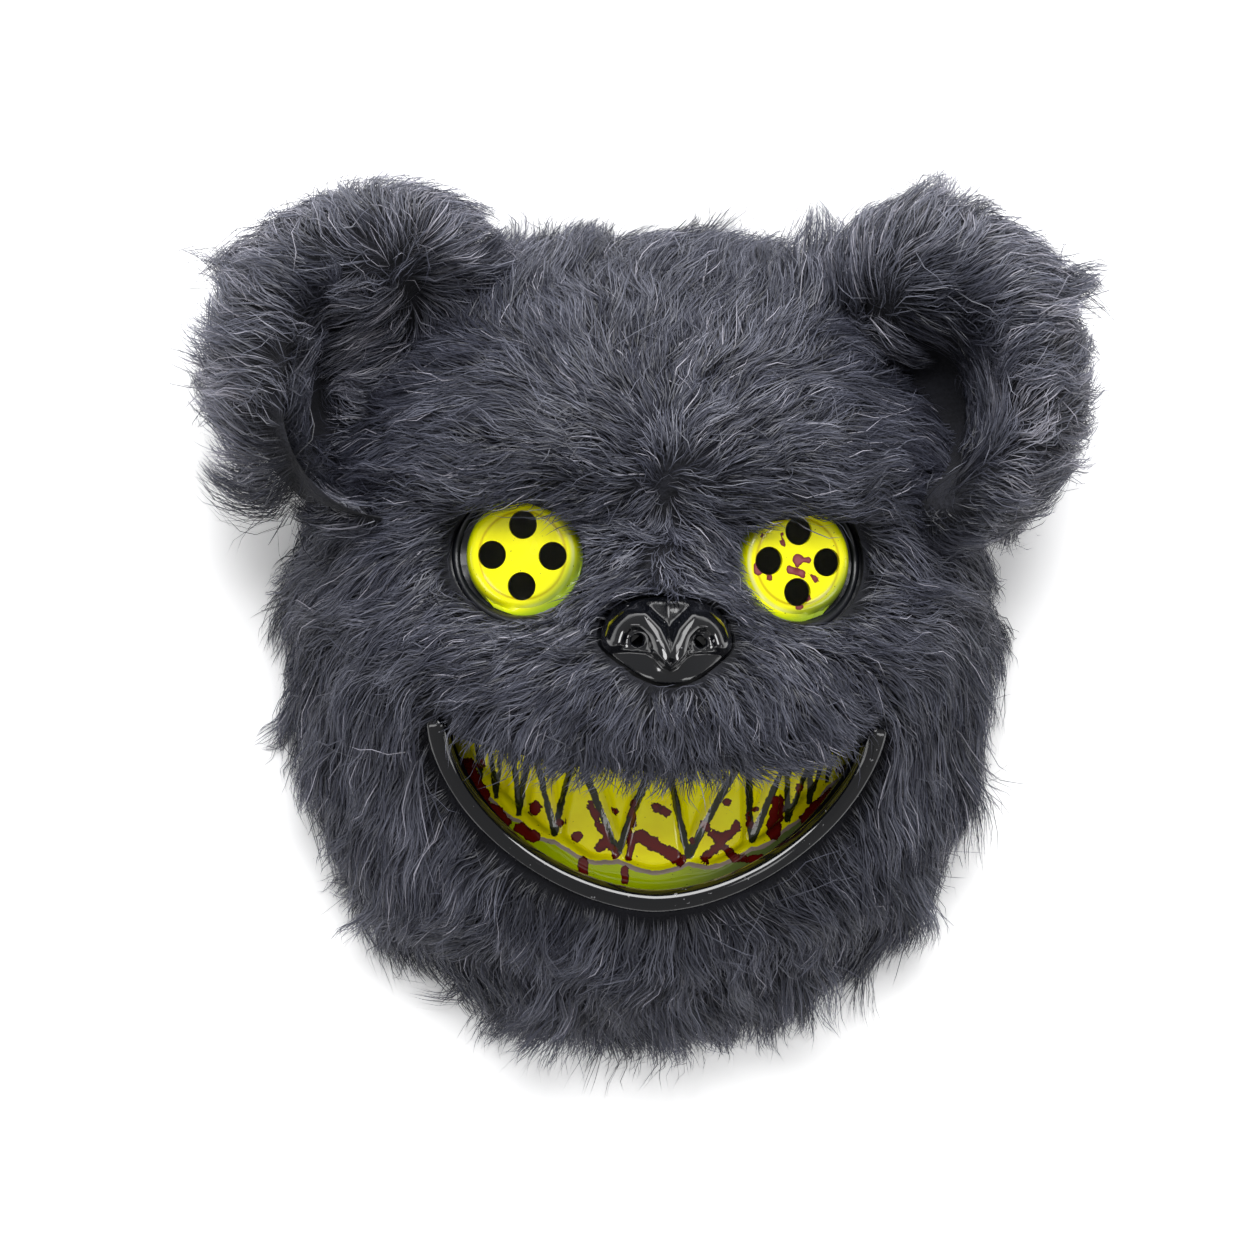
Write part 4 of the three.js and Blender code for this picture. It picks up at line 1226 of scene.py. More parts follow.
def nearest(tree, points):
    """The nearest place of a surface to each point, and its normal there."""
    places = np.empty_like(points)
    normals = np.empty_like(points)
    for i, point in enumerate(points.tolist()):
        found = tree.find_nearest(point)
        places[i] = found[0]
        normals[i] = found[1]
    return places, normals


def ripple(points, size, seed):
    """A smooth uneven value from about -1 to 1 over space, with waves of the given size."""
    random = np.random.default_rng(seed)
    total = np.zeros(len(points))
    for _ in range(6):
        wave = unit(random.normal(size=3)) * 2 * np.pi / (size * mix(0.6, 1.6, random.random()))
        total += np.sin(points @ wave + random.random() * 2 * np.pi)
    return total / 2.8


def clump_numbers(roots, per_clump, random):
    """For each fibre, the fibre that leads its clump."""
    leaders = random.choice(len(roots), size=max(1, len(roots) // per_clump), replace=False)
    tree = KDTree(len(leaders))
    for i, root in enumerate(roots[leaders].tolist()):
        tree.insert(root, i)
    tree.balance()
    ragged = roots + random.normal(0, 0.8 * UNIT, roots.shape)
    found = np.array([tree.find(root)[1] for root in ragged.tolist()])
    return leaders[found], found, len(leaders)


def tuft_stretch(roots):
    """How much longer than usual the fibres of the tufts are."""
    stretch = np.ones(len(roots))
    for side, across, along, reach, longer in TUFTS:
        gap = np.hypot(roots[:, 0] - side * across * HALF_WIDTH, roots[:, 1] - along * TO_CROWN)
        stretch = np.maximum(stretch, 1 + (longer - 1) * ease(gap, 1.8 * reach * UNIT, 0.6 * reach * UNIT))
    return stretch


def grow_fibres(tree, roots, normals, rows, segments, per_clump, fur, random):
    """Fibres that rise from their roots and lie along the fur's flow, drawn together in clumps."""
    count = len(roots)
    leader, clump, clumps = clump_numbers(roots, per_clump, random)
    heading, long, pile, loose = read_flow(rows, roots)
    stretch = tuft_stretch(roots)
    grown = mix(0.7, 1.15, random.random(clumps))[clump] * mix(0.75, 1.15, random.random(count))
    wild = (random.random(clumps) < 0.07)[clump]
    stray = random.random(count) < 0.05
    swing = random.normal(0, math.radians(9), clumps)[clump] + random.normal(0, math.radians(10), count)
    swing = np.where(stray, swing + random.normal(0, 0.7, count), swing)
    layer = mix(0.25, 1.0, random.random(count) ** 0.7) * mix(0.7, 1.2, random.random(clumps))[clump]
    layer *= 1 + 0.22 * ripple(roots, 20 * UNIT, 5)
    layer = np.where(wild, 1.25 * layer, layer)
    loose = np.where(wild, loose + 0.25, loose) * mix(0.6, 1.2, random.random(count))
    loose = np.clip(loose + 0.6 * (stretch - 1), 0, 0.95)
    step = (long * grown * stretch / segments)[:, None]
    paths = np.empty((count, segments + 1, 3))
    paths[:, 0] = roots - normals * 0.8 * UNIT
    point, up = roots, normals
    for k in range(1, segments + 1):
        heading = read_flow(rows, point)[0]
        turn = swing + 0.3 * ripple(point, 30 * UNIT, 3) + 0.3 * ripple(point, 11 * UNIT, 4)
        turn_cos, turn_sin = np.cos(turn), np.sin(turn)
        flat = np.empty((count, 3))
        flat[:, 0] = heading[:, 0] * turn_cos + heading[:, 1] * turn_sin
        flat[:, 1] = heading[:, 1] * turn_cos - heading[:, 0] * turn_sin
        flat[:, 2] = -0.25
        lying = unit(flat - up * np.sum(flat * up, axis=1, keepdims=True))
        along = unit(mix(lying, unit(flat), loose[:, None]))
        rise = 0.95 if k == 1 else 0.2
        point = point + unit(along + up * rise) * step
        place, up = nearest(tree, point)
        stand = np.sum((point - place) * up, axis=1)
        target = pile * layer * min(1.0, 0.55 + 0.45 * k / 2)
        pulled = np.where(stand > target, mix(target, stand, loose), np.maximum(stand, 0.6 * target))
        point = point + up * (pulled - stand)[:, None]
        point[:, 2] = np.maximum(point[:, 2], 0.5 * UNIT)
        paths[:, k] = point
    share_along = (np.arange(1, segments + 1) / segments)[None, :, None]
    draw = (fur.clumping * mix(0.3, 1.3, random.random(clumps)))[clump] + 0.8 * (stretch - 1)
    draw = draw[:, None, None]
    draw = np.where(stray[:, None, None], 0.08, np.minimum(0.9, draw))
    paths[:, 1:] += draw * share_along**1.3 * (paths[leader][:, 1:] - paths[:, 1:])
    wave_fibres(paths, normals, fur.curl, random)
    hold_in(paths, roots)
    tone = 0.48 * random.random(clumps)[clump] + 0.52 * random.random(count)
    # A few fibres at random take the brightest tone, as painted glints.
    tone = np.where(random.random(count) < 0.025, 0.97, 0.06 + 0.8 * tone)
    return paths, normals, tone


def wave_fibres(paths, normals, curl, random):
    """Lets fibres wave to the side and up, more towards their tips."""
    count, stations = paths.shape[:2]
    share_along = (np.arange(1, stations) / (stations - 1))[None, :, None]
    side = unit(np.cross(paths[:, -1] - paths[:, 0], normals))
    for axis in (side, normals * 0.6):
        phase = random.random((count, 1, 1)) * 2 * np.pi
        waves = mix(0.6, 1.8, random.random((count, 1, 1)))
        reach = curl * mix(0.2, 1.4, random.random((count, 1, 1)))
        paths[:, 1:] += reach * np.sin(phase + 2 * np.pi * waves * share_along) * share_along * axis[:, None]


def hold_in(paths, roots):
    """Keeps fibres over the floor and draws in those that reach too far to the side."""
    paths[..., 2] = np.maximum(paths[..., 2], 0.4 * UNIT)
    started = np.abs(roots[:, 0])
    reached = np.abs(paths[..., 0]).max(axis=1) - started
    room = np.clip((FUR_WIDEST - started) / np.maximum(reached, 1e-9), 0, 1)[:, None]
    paths[..., 0] = roots[:, :1] + (paths[..., 0] - roots[:, :1]) * room


def along_paths(paths, spots):
    """Points of each path at the given stations, which may lie between two."""
    low = np.minimum(spots.astype(int), paths.shape[1] - 2)
    part = (spots - low)[..., None]
    rows = np.arange(len(paths))[:, None]
    return paths[rows, low] * (1 - part) + paths[rows, low + 1] * part


def trim_fibres(paths, scene, random):
    """Cuts fibres back where they would cover a lens, the nose, the lip or the teeth."""
    lens, nose, grin = scene.mask_lens, scene.mask_nose, scene.mask_grin
    last = paths.shape[1] - 1
    steps = np.linspace(0, last, 4 * last + 1)
    dense = along_paths(paths, np.broadcast_to(steps, (len(paths), len(steps))))
    x, y = dense[..., 0], dense[..., 1]
    root_x, root_y = x[:, :1], y[:, :1]
    slack = random.exponential(1.0, (len(paths), 1)) * UNIT
    over = np.zeros(x.shape, bool)
    for side in (-1, 1):
        deep = lens.radius - np.hypot(x - side * lens.offset, y - lens.height)
        fringe = 1.4 * UNIT if side < 0 else 2.6 * UNIT
        room = np.where(root_y > lens.height + 9 * UNIT, fringe + 1.3 * slack, 0.2 * UNIT + 0.6 * slack)
        over |= deep > room
    room = np.where(root_y > nose.height + 4 * UNIT, 1.8 * UNIT + slack, 0.7 * UNIT + 0.6 * slack)
    over |= nose_depth(x, y, nose) * nose.half_height > room
    edge = grin.height - 15 * UNIT + 10 * UNIT * (x / (50 * UNIT)) ** 4
    corner = grin.half_width + 4 * UNIT
    from_muzzle = (np.abs(root_x) < corner) & (root_y > edge[:, :1] - 2 * UNIT)
    over |= from_muzzle & (edge - y > 3.4 * slack) & (np.abs(x) < corner)
    over |= y < FUR_LOWEST
    lip = scene.mask_shell.lip_radius
    wide, deep = grin.half_width + 1.2 * lip, grin.drop + 0.85 * lip
    fallen = np.maximum(0, grin.height - y) / deep
    ring = 1 - ((np.abs(x) / wide) ** grin.fullness + fallen**grin.fullness) ** (1 / grin.fullness)
    over |= ~from_muzzle & (ring * deep > 0.5 * slack) & (y < grin.height)
    first = np.where(over.any(axis=1), np.argmax(over, axis=1), len(steps))
    kept = first > 3
    reach = np.minimum(first[kept] - 1, len(steps) - 1) / (len(steps) - 1)
    spots = reach[:, None] * np.arange(last + 1)
    return along_paths(paths[kept], spots), kept


def ribbons(paths, normals, width, random):
    """The points of a narrow pointed ribbon along each fibre."""
    count, stations = paths.shape[:2]
    ahead = np.diff(paths, axis=1)
    tangent = unit(ahead[:, :-1] + ahead[:, 1:])
    side = unit(np.cross(tangent, normals[:, None]))
    up = np.cross(tangent, side)
    levels = np.linspace(0, 1, stations)
    roll = random.normal(0, 0.6, (count, 1)) + random.normal(0, 0.7, (count, 1)) * levels[1:-1]
    out = side * np.cos(roll)[..., None] + up * np.sin(roll)[..., None]
    taper = np.interp(levels[1:-1], [0, 0.4, 1], [1, 0.9, 0.35])
    half = (width / 2) * mix(0.65, 1.25, random.random((count, 1))) * taper
    verts = np.empty((count, 2 * stations - 2, 3))
    verts[:, 0] = paths[:, 0]
    verts[:, 1:-1:2] = paths[:, 1:-1] - out * half[..., None]
    verts[:, 2:-1:2] = paths[:, 1:-1] + out * half[..., None]
    verts[:, -1] = paths[:, -1]
    verts[..., 2] = np.maximum(verts[..., 2], 0.15 * UNIT)
    return verts


def fibre_mesh(name, paths, normals, tone, width, random):
    """Joins fibres into one mesh of ribbons, with a cell of the map for each."""
    verts = ribbons(paths, normals, width, random)
    count, each = verts.shape[:2]
    levels = np.linspace(0, 1, paths.shape[1])
    faces = [[0, 2, 1]]
    for k in range(1, each - 3, 2):
        faces.append([k, k + 1, k + 3])
        faces.append([k, k + 3, k + 2])
    faces.append([each - 3, each - 2, each - 1])
    flat = np.array([(0.5, 0.0), *((j, level) for level in levels[1:-1] for j in (0, 1)), (0.5, 1.0)])
    triangles = (np.array(faces)[None] + (np.arange(count) * each)[:, None, None]).reshape(-1, 3)
    mesh = bpy.data.meshes.new(name)
    mesh.vertices.add(count * each)
    mesh.vertices.foreach_set("co", (verts + MIDDLE).astype(np.float32).ravel())
    mesh.loops.add(triangles.size)
    mesh.loops.foreach_set("vertex_index", triangles.astype(np.int32).ravel())
    mesh.polygons.add(len(triangles))
    mesh.polygons.foreach_set("loop_start", np.arange(0, triangles.size, 3, dtype=np.int32))
    mesh.update(calc_edges=True)
    columns = math.ceil(math.sqrt(count))
    cell = np.stack([np.arange(count) % columns, np.arange(count) // columns], axis=-1)
    places = (cell[:, None] + 0.1 + 0.8 * flat[np.array(faces).ravel()][None]) / columns
    uv = mesh.uv_layers.new(name="OFBake")
    uv.data.foreach_set("uv", places.astype(np.float32).ravel())
    strand = np.ones((count, each, 4))
    strand[..., 0] = flat[:, 1]
    strand[..., 1] = tone[:, None]
    layer = mesh.color_attributes.new("strand", "FLOAT_COLOR", "POINT")
    layer.data.foreach_set("color", strand.astype(np.float32).ravel())
    mesh.shade_smooth()
    obj = bpy.data.objects.new(name, mesh)
    bpy.context.scene.collection.objects.link(obj)
    return obj


def tree_of(points, triangles):
    """A search tree over a surface."""
    return BVHTree.FromPolygons(points.tolist(), triangles.tolist())


def head_roots(scene, random):
    """Where fibres grow on the face, away from the eyes, the nose and the grin."""
    points, triangles = skin_of_head(scene)
    places, normals = scatter(points, triangles, scene.mask_fur.head_count, random)
    x, y = places[:, 0], places[:, 1]
    lip = 1.2 * scene.mask_shell.lip_radius
    bare = in_eye_opening(x, y, scene.mask_lens, -0.6 * UNIT)
    bare |= nose_depth(x, y, scene.mask_nose) > 0
    bare |= in_grin(x, y, scene.mask_grin, lip, 0) | (places[:, 2] < UNIT)
    return tree_of(points, triangles), places[~bare], normals[~bare]


FUR_REGIONS = {
    # name: segments and fibres to a clump
    "fur_crown_left": (4, 36),
    "fur_crown_right": (4, 36),
    "fur_muzzle": (4, 30),
    "fur_cheek_left": (5, 40),
    "fur_cheek_right": (5, 40),
    "fur_chin": (5, 40),
}


def region_of(places):
    """Which piece of fur each place of the face belongs to."""
    across = places[:, 0] / HALF_WIDTH
    along = places[:, 1] / TO_CROWN
    middle = np.abs(across) < 0.5
    muzzle = (np.abs(across) < 0.62) & (along < CROWN_EDGE) & (along > CHIN_EDGE)
    chin = middle & (along <= CHIN_EDGE)
    names = np.where(across < 0, "fur_cheek_left", "fur_cheek_right")
    names = np.where(chin, "fur_chin", names)
    names = np.where(muzzle, "fur_muzzle", names)
    crown = np.where(across < 0, "fur_crown_left", "fur_crown_right")
    return np.where(along >= CROWN_EDGE, crown, names)


class MASK_OT_plush_cover(bpy.types.Operator):
    """Makes the knitted backing of the face"""

    bl_idname = "mask.plush_cover"
    bl_label = "Plush Cover"

    def execute(self, context):
        scene = context.scene
        fur, lens, nose, grin = scene.mask_fur, scene.mask_lens, scene.mask_nose, scene.mask_grin
        pelt, u, v = grid("plush_backing", 68, 68)
        write_points(pelt, face_surface(u, v, pelt_offset(fur)))
        apply_modifier(pelt, "SOLIDIFY", thickness=fur.pelt_wall, offset=-1)
        points = read_points(pelt)
        points[:, 2] = np.maximum(points[:, 2], fur.hem)
        write_points(pelt, points)
        for side in (-1, 1):
            cut(pelt, outline_cutter(eye_opening(side, lens)))
        turn = np.linspace(0, 2 * np.pi, 48, endpoint=False)
        most = np.maximum(np.abs(np.sin(turn)), np.abs(np.cos(turn)))
        x, y = nose_square(np.sin(turn) / most, np.cos(turn) / most, nose, UNIT)
        cut(pelt, outline_cutter(np.stack([x, y + nose.height], axis=-1)))
        cut(pelt, outline_cutter(grin_outline(grin, 1.1 * scene.mask_shell.lip_radius, 0)))
        smooth(to_frame(pelt))
        hand_over(pelt, pelt_finish(fur), "plush", "plush_cover")
        return {"FINISHED"}


def grin_outline(grin, below, above):
    """The outline of the grin's opening: an arc under it and a flatter one over it."""
    half = grin.half_width + below
    top = grin.height + above
    side, drop = grin_arc(np.linspace(np.pi / 2, -np.pi / 2, 49), grin)
    under = np.stack([half * side, top - (grin.drop + below + above) * drop], axis=-1)
    side, drop = grin_arc(np.linspace(-np.pi / 2, np.pi / 2, 33)[1:-1], grin)
    over = np.stack([half * side, top - grin.upper_drop * drop], axis=-1)
    return np.concatenate([under, over])


class MASK_OT_face_fur(bpy.types.Operator):
    """Grows the fur of the face"""

    bl_idname = "mask.face_fur"
    bl_label = "Face Fur"

    def execute(self, context):
        scene = context.scene
        random = np.random.default_rng(FACE_SEED)
        tree, roots, normals = head_roots(scene, random)
        names = region_of(roots)
        finish = fur_finish(scene.mask_fur)
        for name, (segments, per_clump) in FUR_REGIONS.items():
            chosen = names == name
            paths, ups, tone = grow_fibres(
                tree, roots[chosen], normals[chosen], FACE_FLOW, segments, per_clump, scene.mask_fur, random
            )
            paths, kept = trim_fibres(paths, scene, random)
            piece = fibre_mesh(name, paths, ups[kept], tone[kept], scene.mask_fur.fibre, random)
            hand_over(piece, finish, "plush")
        return {"FINISHED"}


# Ears


def ear_place(points, side):
    """Turns and moves points of an ear to its place beside the head."""
    tilt = -side * math.radians(EAR_TURN)
    x = points[:, 0] * math.cos(tilt) + points[:, 2] * math.sin(tilt)
    z = points[:, 2] * math.cos(tilt) - points[:, 0] * math.sin(tilt)
    across, along, level = EAR_PLACE
    shift = np.array([side * across, along, level]) * UNIT
    return np.stack([x, points[:, 1], z], axis=-1) + shift


def ear_shape(ear, ring, turn):
    """A point of the ear for a ring from its back pole, 0, to its cup's pole, and a turn."""
    half_width = EAR_SIZE[0] * ear["girth"] * UNIT
    half_height = EAR_SIZE[1] * UNIT
    depth = EAR_SIZE[2] * UNIT
    rows = [(0.0, 0.0, 0.0, 0.0), *EAR_SECTION, (0.0, 0.2, 0.6, 1.0)]
    reach, level, roll, cup = (
        np.interp(ring, np.arange(len(rows)), [row[i] for row in rows]) for i in range(4)
    )
    outwards = ear["side"] * np.cos(turn) * 0.85 + np.sin(turn) * 0.2
    sink = 1 - roll * 0.75 * (1 - ease(outwards, -0.75, 0.1)) * (reach > 0)
    wide = mix(1, ear["wide"], cup)
    tall = mix(1, ear["tall"], cup)
    x = (np.cos(turn) * reach * wide + ear["side"] * ear["across"] * cup) * half_width
    y = (np.sin(turn) * reach * tall + ear["along"] * cup) * half_height
    return np.stack([x, y, level * sink * depth], axis=-1)


def cup_reach(points, ear):
    """How far places lie from the middle of the ear's cup, which is bare up to 1."""
    across = ear["side"] * ear["across"] * EAR_SIZE[0]
    middle = np.array([[across, ear["along"] * EAR_SIZE[1], CUP_LEVEL]]) * UNIT
    middle = ear_place(middle, ear["side"])[0]
    across = (points[:, 0] - middle[0]) / (CUP_SIZE[0] * ear["wide"] * UNIT)
    along = (points[:, 1] - middle[1]) / (CUP_SIZE[1] * ear["tall"] * UNIT)
    return np.hypot(across, along)


def clear_of_head(points, gap):
    """Pushes points out of the head until they clear its plush by a gap."""
    moved = points.copy()
    for _ in range(5):
        slope = face_slope(moved)
        steep = np.maximum(np.linalg.norm(slope, axis=1), 1e-6)
        depth = face_field(moved) / steep
        short = np.maximum(0, gap - depth)
        moved += unit(slope) * np.minimum(short, 6 * UNIT)[:, None]
    return moved


def ear_mesh(name, ear, fur):
    """The padded ear under its fur: a rolled edge round a cup, seated against the head."""
    rings = len(EAR_SECTION) + 1
    deselect()
    bpy.ops.mesh.primitive_uv_sphere_add(segments=28, ring_count=rings, radius=1)
    obj = fresh(name)
    points = read_points(obj)
    ring = np.round(np.arccos(np.clip(-points[:, 2], -1, 1)) / np.pi * rings)
    turn = np.arctan2(points[:, 1], points[:, 0])
    write_points(obj, ear_place(ear_shape(ear, ring, turn), ear["side"]))
    apply_modifier(obj, "SUBSURF", levels=2, render_levels=2)
    seat = fur.fit + fur.pelt_wall + 0.6 * UNIT
    points = clear_of_head(read_points(obj), seat)
    points[:, 2] = np.maximum(points[:, 2], 0.6 * UNIT)
    write_points(obj, points)
    outward(obj)
    return obj


class MASK_OT_ears(bpy.types.Operator):
    """Makes both ears with their fur"""

    bl_idname = "mask.ears"
    bl_label = "Ears"

    def execute(self, context):
        fur = context.scene.mask_fur
        finish = fur_finish(fur)
        backing = pelt_finish(fur)
        for i, (word, ear) in enumerate(EARS.items()):
            random = np.random.default_rng(EAR_SEED + i)
            body = ear_mesh(f"ear_backing_{word}", ear, fur)
            points = read_points(body)
            body.data.calc_loop_triangles()
            triangles = np.empty(len(body.data.loop_triangles) * 3, np.int32)
            body.data.loop_triangles.foreach_get("vertices", triangles)
            triangles = triangles.reshape(-1, 3)
            tree = tree_of(points, triangles)
            roots, normals = scatter(points, triangles, fur.ear_count, random)
            field = face_field(roots) / np.linalg.norm(face_slope(roots), axis=1)
            open_air = (field > fur.fit + fur.pelt_wall + 0.7 * UNIT) & (roots[:, 2] > 2 * UNIT)
            open_air &= cup_reach(roots, ear) > 1
            roots, normals = roots[open_air], normals[open_air]
            paths, ups, tone = grow_fibres(tree, roots, normals, EAR_FLOW, 4, 30, fur, random)
            # Painted shade: fibres get darker towards the bare cup, as in the shade of its hollow.
            tone = np.minimum(tone + fur.ear_tone, 1) * ease(cup_reach(roots, ear), 0.8, 1.6)
            coat = fibre_mesh(f"fur_ear_{word}", paths, ups, tone, fur.fibre, random)
            smooth(to_frame(body))
            hand_over(body, backing, "plush", f"ear_{word}")
            hand_over(coat, finish, "plush")
        return {"FINISHED"}


# Shell, lip, nose


class MASK_OT_face_shell(bpy.types.Operator):
    """Makes the smooth plastic face with its sockets and openings"""

    bl_idname = "mask.face_shell"
    bl_label = "Face Shell"

    def execute(self, context):
        scene = context.scene
        shell_settings, lens, grin = scene.mask_shell, scene.mask_lens, scene.mask_grin
        shell, u, v = grid("face_plastic", 76, 76)
        write_points(shell, face_surface(u, v, lambda x, y: np.zeros_like(x)))
        apply_modifier(shell, "SOLIDIFY", thickness=shell_settings.wall, offset=-1)
        points = read_points(shell)
        points[:, 2] = np.maximum(points[:, 2], 0)
        write_points(shell, points)
        for side in (-1, 1):
            radius = lens.radius - 2 * lens.wall
            cut(shell, outline_cutter(circle(side * lens.offset, lens.height, radius, 64)))
        lip = shell_settings.lip_radius
        cut(shell, outline_cutter(grin_outline(grin, -0.5 * lip, 1.5 * lip)))
        for side in (-1, 1):
            ring = socket_ring(side, shell_settings, lens)
            apply_modifier(shell, "BOOLEAN", operation="UNION", object=ring, solver="EXACT")
            bpy.data.objects.remove(ring)
        smooth(to_frame(shell), 35)
        hand_over(shell, shell_finish(), "shell_plastic", "face_shell")
        return {"FINISHED"}


def socket_ring(side, shell_settings, lens):
    """A raised ring on the face round a lens."""
    deselect()
    major = lens.radius + 0.5 * lens.socket
    bpy.ops.mesh.primitive_torus_add(
        major_segments=72, minor_segments=12, major_radius=major, minor_radius=shell_settings.socket_rise
    )
    ring = fresh("socket_ring")
    points = read_points(ring)
    level = points[:, 2].copy()
    x = points[:, 0] + side * lens.offset
    y = points[:, 1] + lens.height
    write_points(ring, np.stack([x, y, face_height(x, y) + level], axis=-1))
    return ring


class MASK_OT_lip(bpy.types.Operator):
    """Sweeps the gloss lip along the lower edge of the grin"""

    bl_idname = "mask.lip"
    bl_label = "Lip"

    def execute(self, context):
        scene = context.scene
        grin, radius = scene.mask_grin, scene.mask_shell.lip_radius
        lip, u, v = grid("grin_lip", 144, 20)
        share_along = (u + 1) / 2
        round_turn = np.pi * v
        side, drop = grin_arc(np.pi * 1.02 * (share_along - 0.5), grin)
        end = np.minimum(share_along, 1 - share_along)
        thick = radius * ease(end, 0, 0.03)
        out = np.stack([side, -drop], axis=-1)
        wide = np.cos(round_turn) * thick * 1.05
        high = np.sin(round_turn) * thick * np.where(np.cos(round_turn) > 0.2, 0.75, 1.0)
        path = 1.2 * UNIT
        x = out[:, 0] * (grin.half_width + path + wide)
        y = grin.height + out[:, 1] * (grin.drop + wide)
        middle_x = out[:, 0] * (grin.half_width + path)
        middle_y = grin.height + out[:, 1] * grin.drop
        level = face_height(middle_x, middle_y)
        flat = np.stack([middle_x, middle_y, level], axis=-1)
        steep = unit(face_slope(flat))[:, 2]
        z = level + (radius + 0.8 * UNIT) / np.maximum(steep, 0.3) + high
        write_points(lip, np.stack([x, y, z], axis=-1))
        outward(lip)
        smooth(to_frame(lip), 60)
        hand_over(lip, gloss_finish("gloss_lip", 0.73, 0.8), "gloss_black", "lip_bead")
        return {"FINISHED"}


class MASK_OT_nose(bpy.types.Operator):
    """Shapes the gloss nose"""

    bl_idname = "mask.nose"
    bl_label = "Nose"

    def execute(self, context):
        nose = context.scene.mask_nose
        piece, u, v = grid("gloss_nose", 112, 80)
        x, y = nose_square(u, v, nose)
        seat = face_height(x, y + nose.height) + nose.edge
        height = nose_height(x / nose.half_width, y / nose.half_height, nose)
        write_points(piece, np.stack([x, y + nose.height, seat + height], axis=-1))
        only(piece)
        bpy.ops.object.mode_set(mode="EDIT")
        bpy.ops.mesh.select_all(action="SELECT")
        bpy.ops.mesh.extrude_region_move(TRANSFORM_OT_translate={"value": (0, 0, -0.02)})
        bpy.ops.object.mode_set(mode="OBJECT")
        points = read_points(piece)
        foot = np.array([vertex.select for vertex in piece.data.vertices])
        level = face_height(points[:, 0], points[:, 1]) + 0.2 * UNIT
        points[foot, 2] = level[foot]
        write_points(piece, points)
        for side in (-1, 1):
            across = side * NOSTRIL_ACROSS * nose.half_width
            along = nose.height + NOSTRIL_ALONG * nose.half_height
            hole = circle(across, along, nose.nostril, 28)
            level = float(face_height(hole[0, 0], hole[0, 1]))
            cut(piece, outline_cutter(hole, level + 0.001, level + 0.03))
        outward(piece)
        smooth(to_frame(piece), 50)
        hand_over(piece, gloss_finish("gloss_nose", 0.76, 1.0), "gloss_black", "nose")
        return {"FINISHED"}


# Lenses and teeth


class MASK_OT_lenses(bpy.types.Operator):
    """Turns both lenses, pierces them and stains the right one"""

    bl_idname = "mask.lenses"
    bl_label = "Lenses"

    def execute(self, context):
        lens = context.scene.mask_lens
        finish = lens_finish(lens)
        for word, side, rows in (("left", -1, LEFT_LENS_STAINS), ("right", 1, LENS_STAINS)):
            piece = lens_mesh(f"lens_{word}", side, lens)
            points = read_points(piece)
            middle = lens_middle(side, lens)
            turned = (points - middle) @ np.array(lens_turn(side, lens).to_3x3())
            across, along = turned[:, 0] / UNIT, turned[:, 1] / UNIT
            reach = np.hypot(across, along) * UNIT / lens.radius
            store(piece, "reach", np.clip(reach, 0, 1))
            store(piece, "stain", stain_distance(across, along, rows))
            # Painted shade: the shoulder's lower right, which turns from the light, goes olive.
            toward = math.radians(-40) if side < 0 else math.radians(-52)
            facing = (across * math.cos(toward) + along * math.sin(toward)) * UNIT / lens.radius
            store(piece, "shade", 0.9 * ease(facing, 0.35, 0.9) * ease(reach, 0.5, 0.86))
            # Where the painted highlight arc shows: towards the nose and down.
            toward_nose = -side * across - 0.5 * along
            store(piece, "painted_highlight", 0.8 * ease(toward_nose * UNIT / lens.radius, 0.2, 0.9))
            smooth(to_frame(piece), 30)
            hand_over(piece, finish, "yellow_lens", f"eye_lens_{word}")
        return {"FINISHED"}


def lens_mesh(name, side, lens):
    """A cup with a flat face and a stepped shoulder, pierced by four sight holes."""
    deselect()
    bpy.ops.mesh.primitive_circle_add(vertices=72, radius=lens.radius * 0.1, fill_type="TRIFAN")
    obj = fresh(name)
    only(obj)
    bpy.ops.object.mode_set(mode="EDIT")
    bpy.ops.mesh.select_all(action="SELECT")
    bpy.ops.mesh.region_to_loop()
    reached, lowered = 0.1, 0.0
    for reach, level in LENS_PROFILE:
        bpy.ops.mesh.extrude_edges_move(
            TRANSFORM_OT_translate={"value": (0, 0, (level - lowered) * lens.radius)}
        )
        bpy.ops.transform.resize(value=(reach / reached, reach / reached, 1))
        reached, lowered = reach, level
    bpy.ops.mesh.extrude_edges_move(TRANSFORM_OT_translate={"value": (0, 0, -1.5 * lens.radius)})
    bpy.ops.object.mode_set(mode="OBJECT")
    foot = np.array([vertex.select for vertex in obj.data.vertices])
    outward(obj)
    if obj.data.polygons[0].normal.z < 0:
        bpy.ops.object.mode_set(mode="EDIT")
        bpy.ops.mesh.flip_normals()
        bpy.ops.object.mode_set(mode="OBJECT")
    turn = np.array(lens_turn(side, lens).to_3x3())
    points = read_points(obj) @ turn.T + lens_middle(side, lens)
    points[foot, :2] += 1.5 * lens.radius * turn[:2, 2]
    level = face_height(points[:, 0], points[:, 1]) + 0.3 * UNIT
    points[:, 2] = np.where(foot, level, np.maximum(points[:, 2], level))
    write_points(obj, points)
    apply_modifier(obj, "SOLIDIFY", thickness=lens.wall, offset=-1)
    pierce(obj, side, lens)
    return obj


def pierce(obj, side, lens):
    """Drills the four sight holes through a lens."""
    turn = np.array(lens_turn(side, lens).to_3x3())
    for i in range(4):
        hole = i / 4 * 2 * np.pi
        deselect()
        bpy.ops.mesh.primitive_cylinder_add(vertices=40, radius=lens.hole_radius, depth=0.012)
        cutter = fresh("sight_hole")
        shift = np.array([math.cos(hole), math.sin(hole), 0]) * lens.hole_circle
        write_points(cutter, (read_points(cutter) + shift) @ turn.T + lens_middle(side, lens))
        cut(obj, cutter)


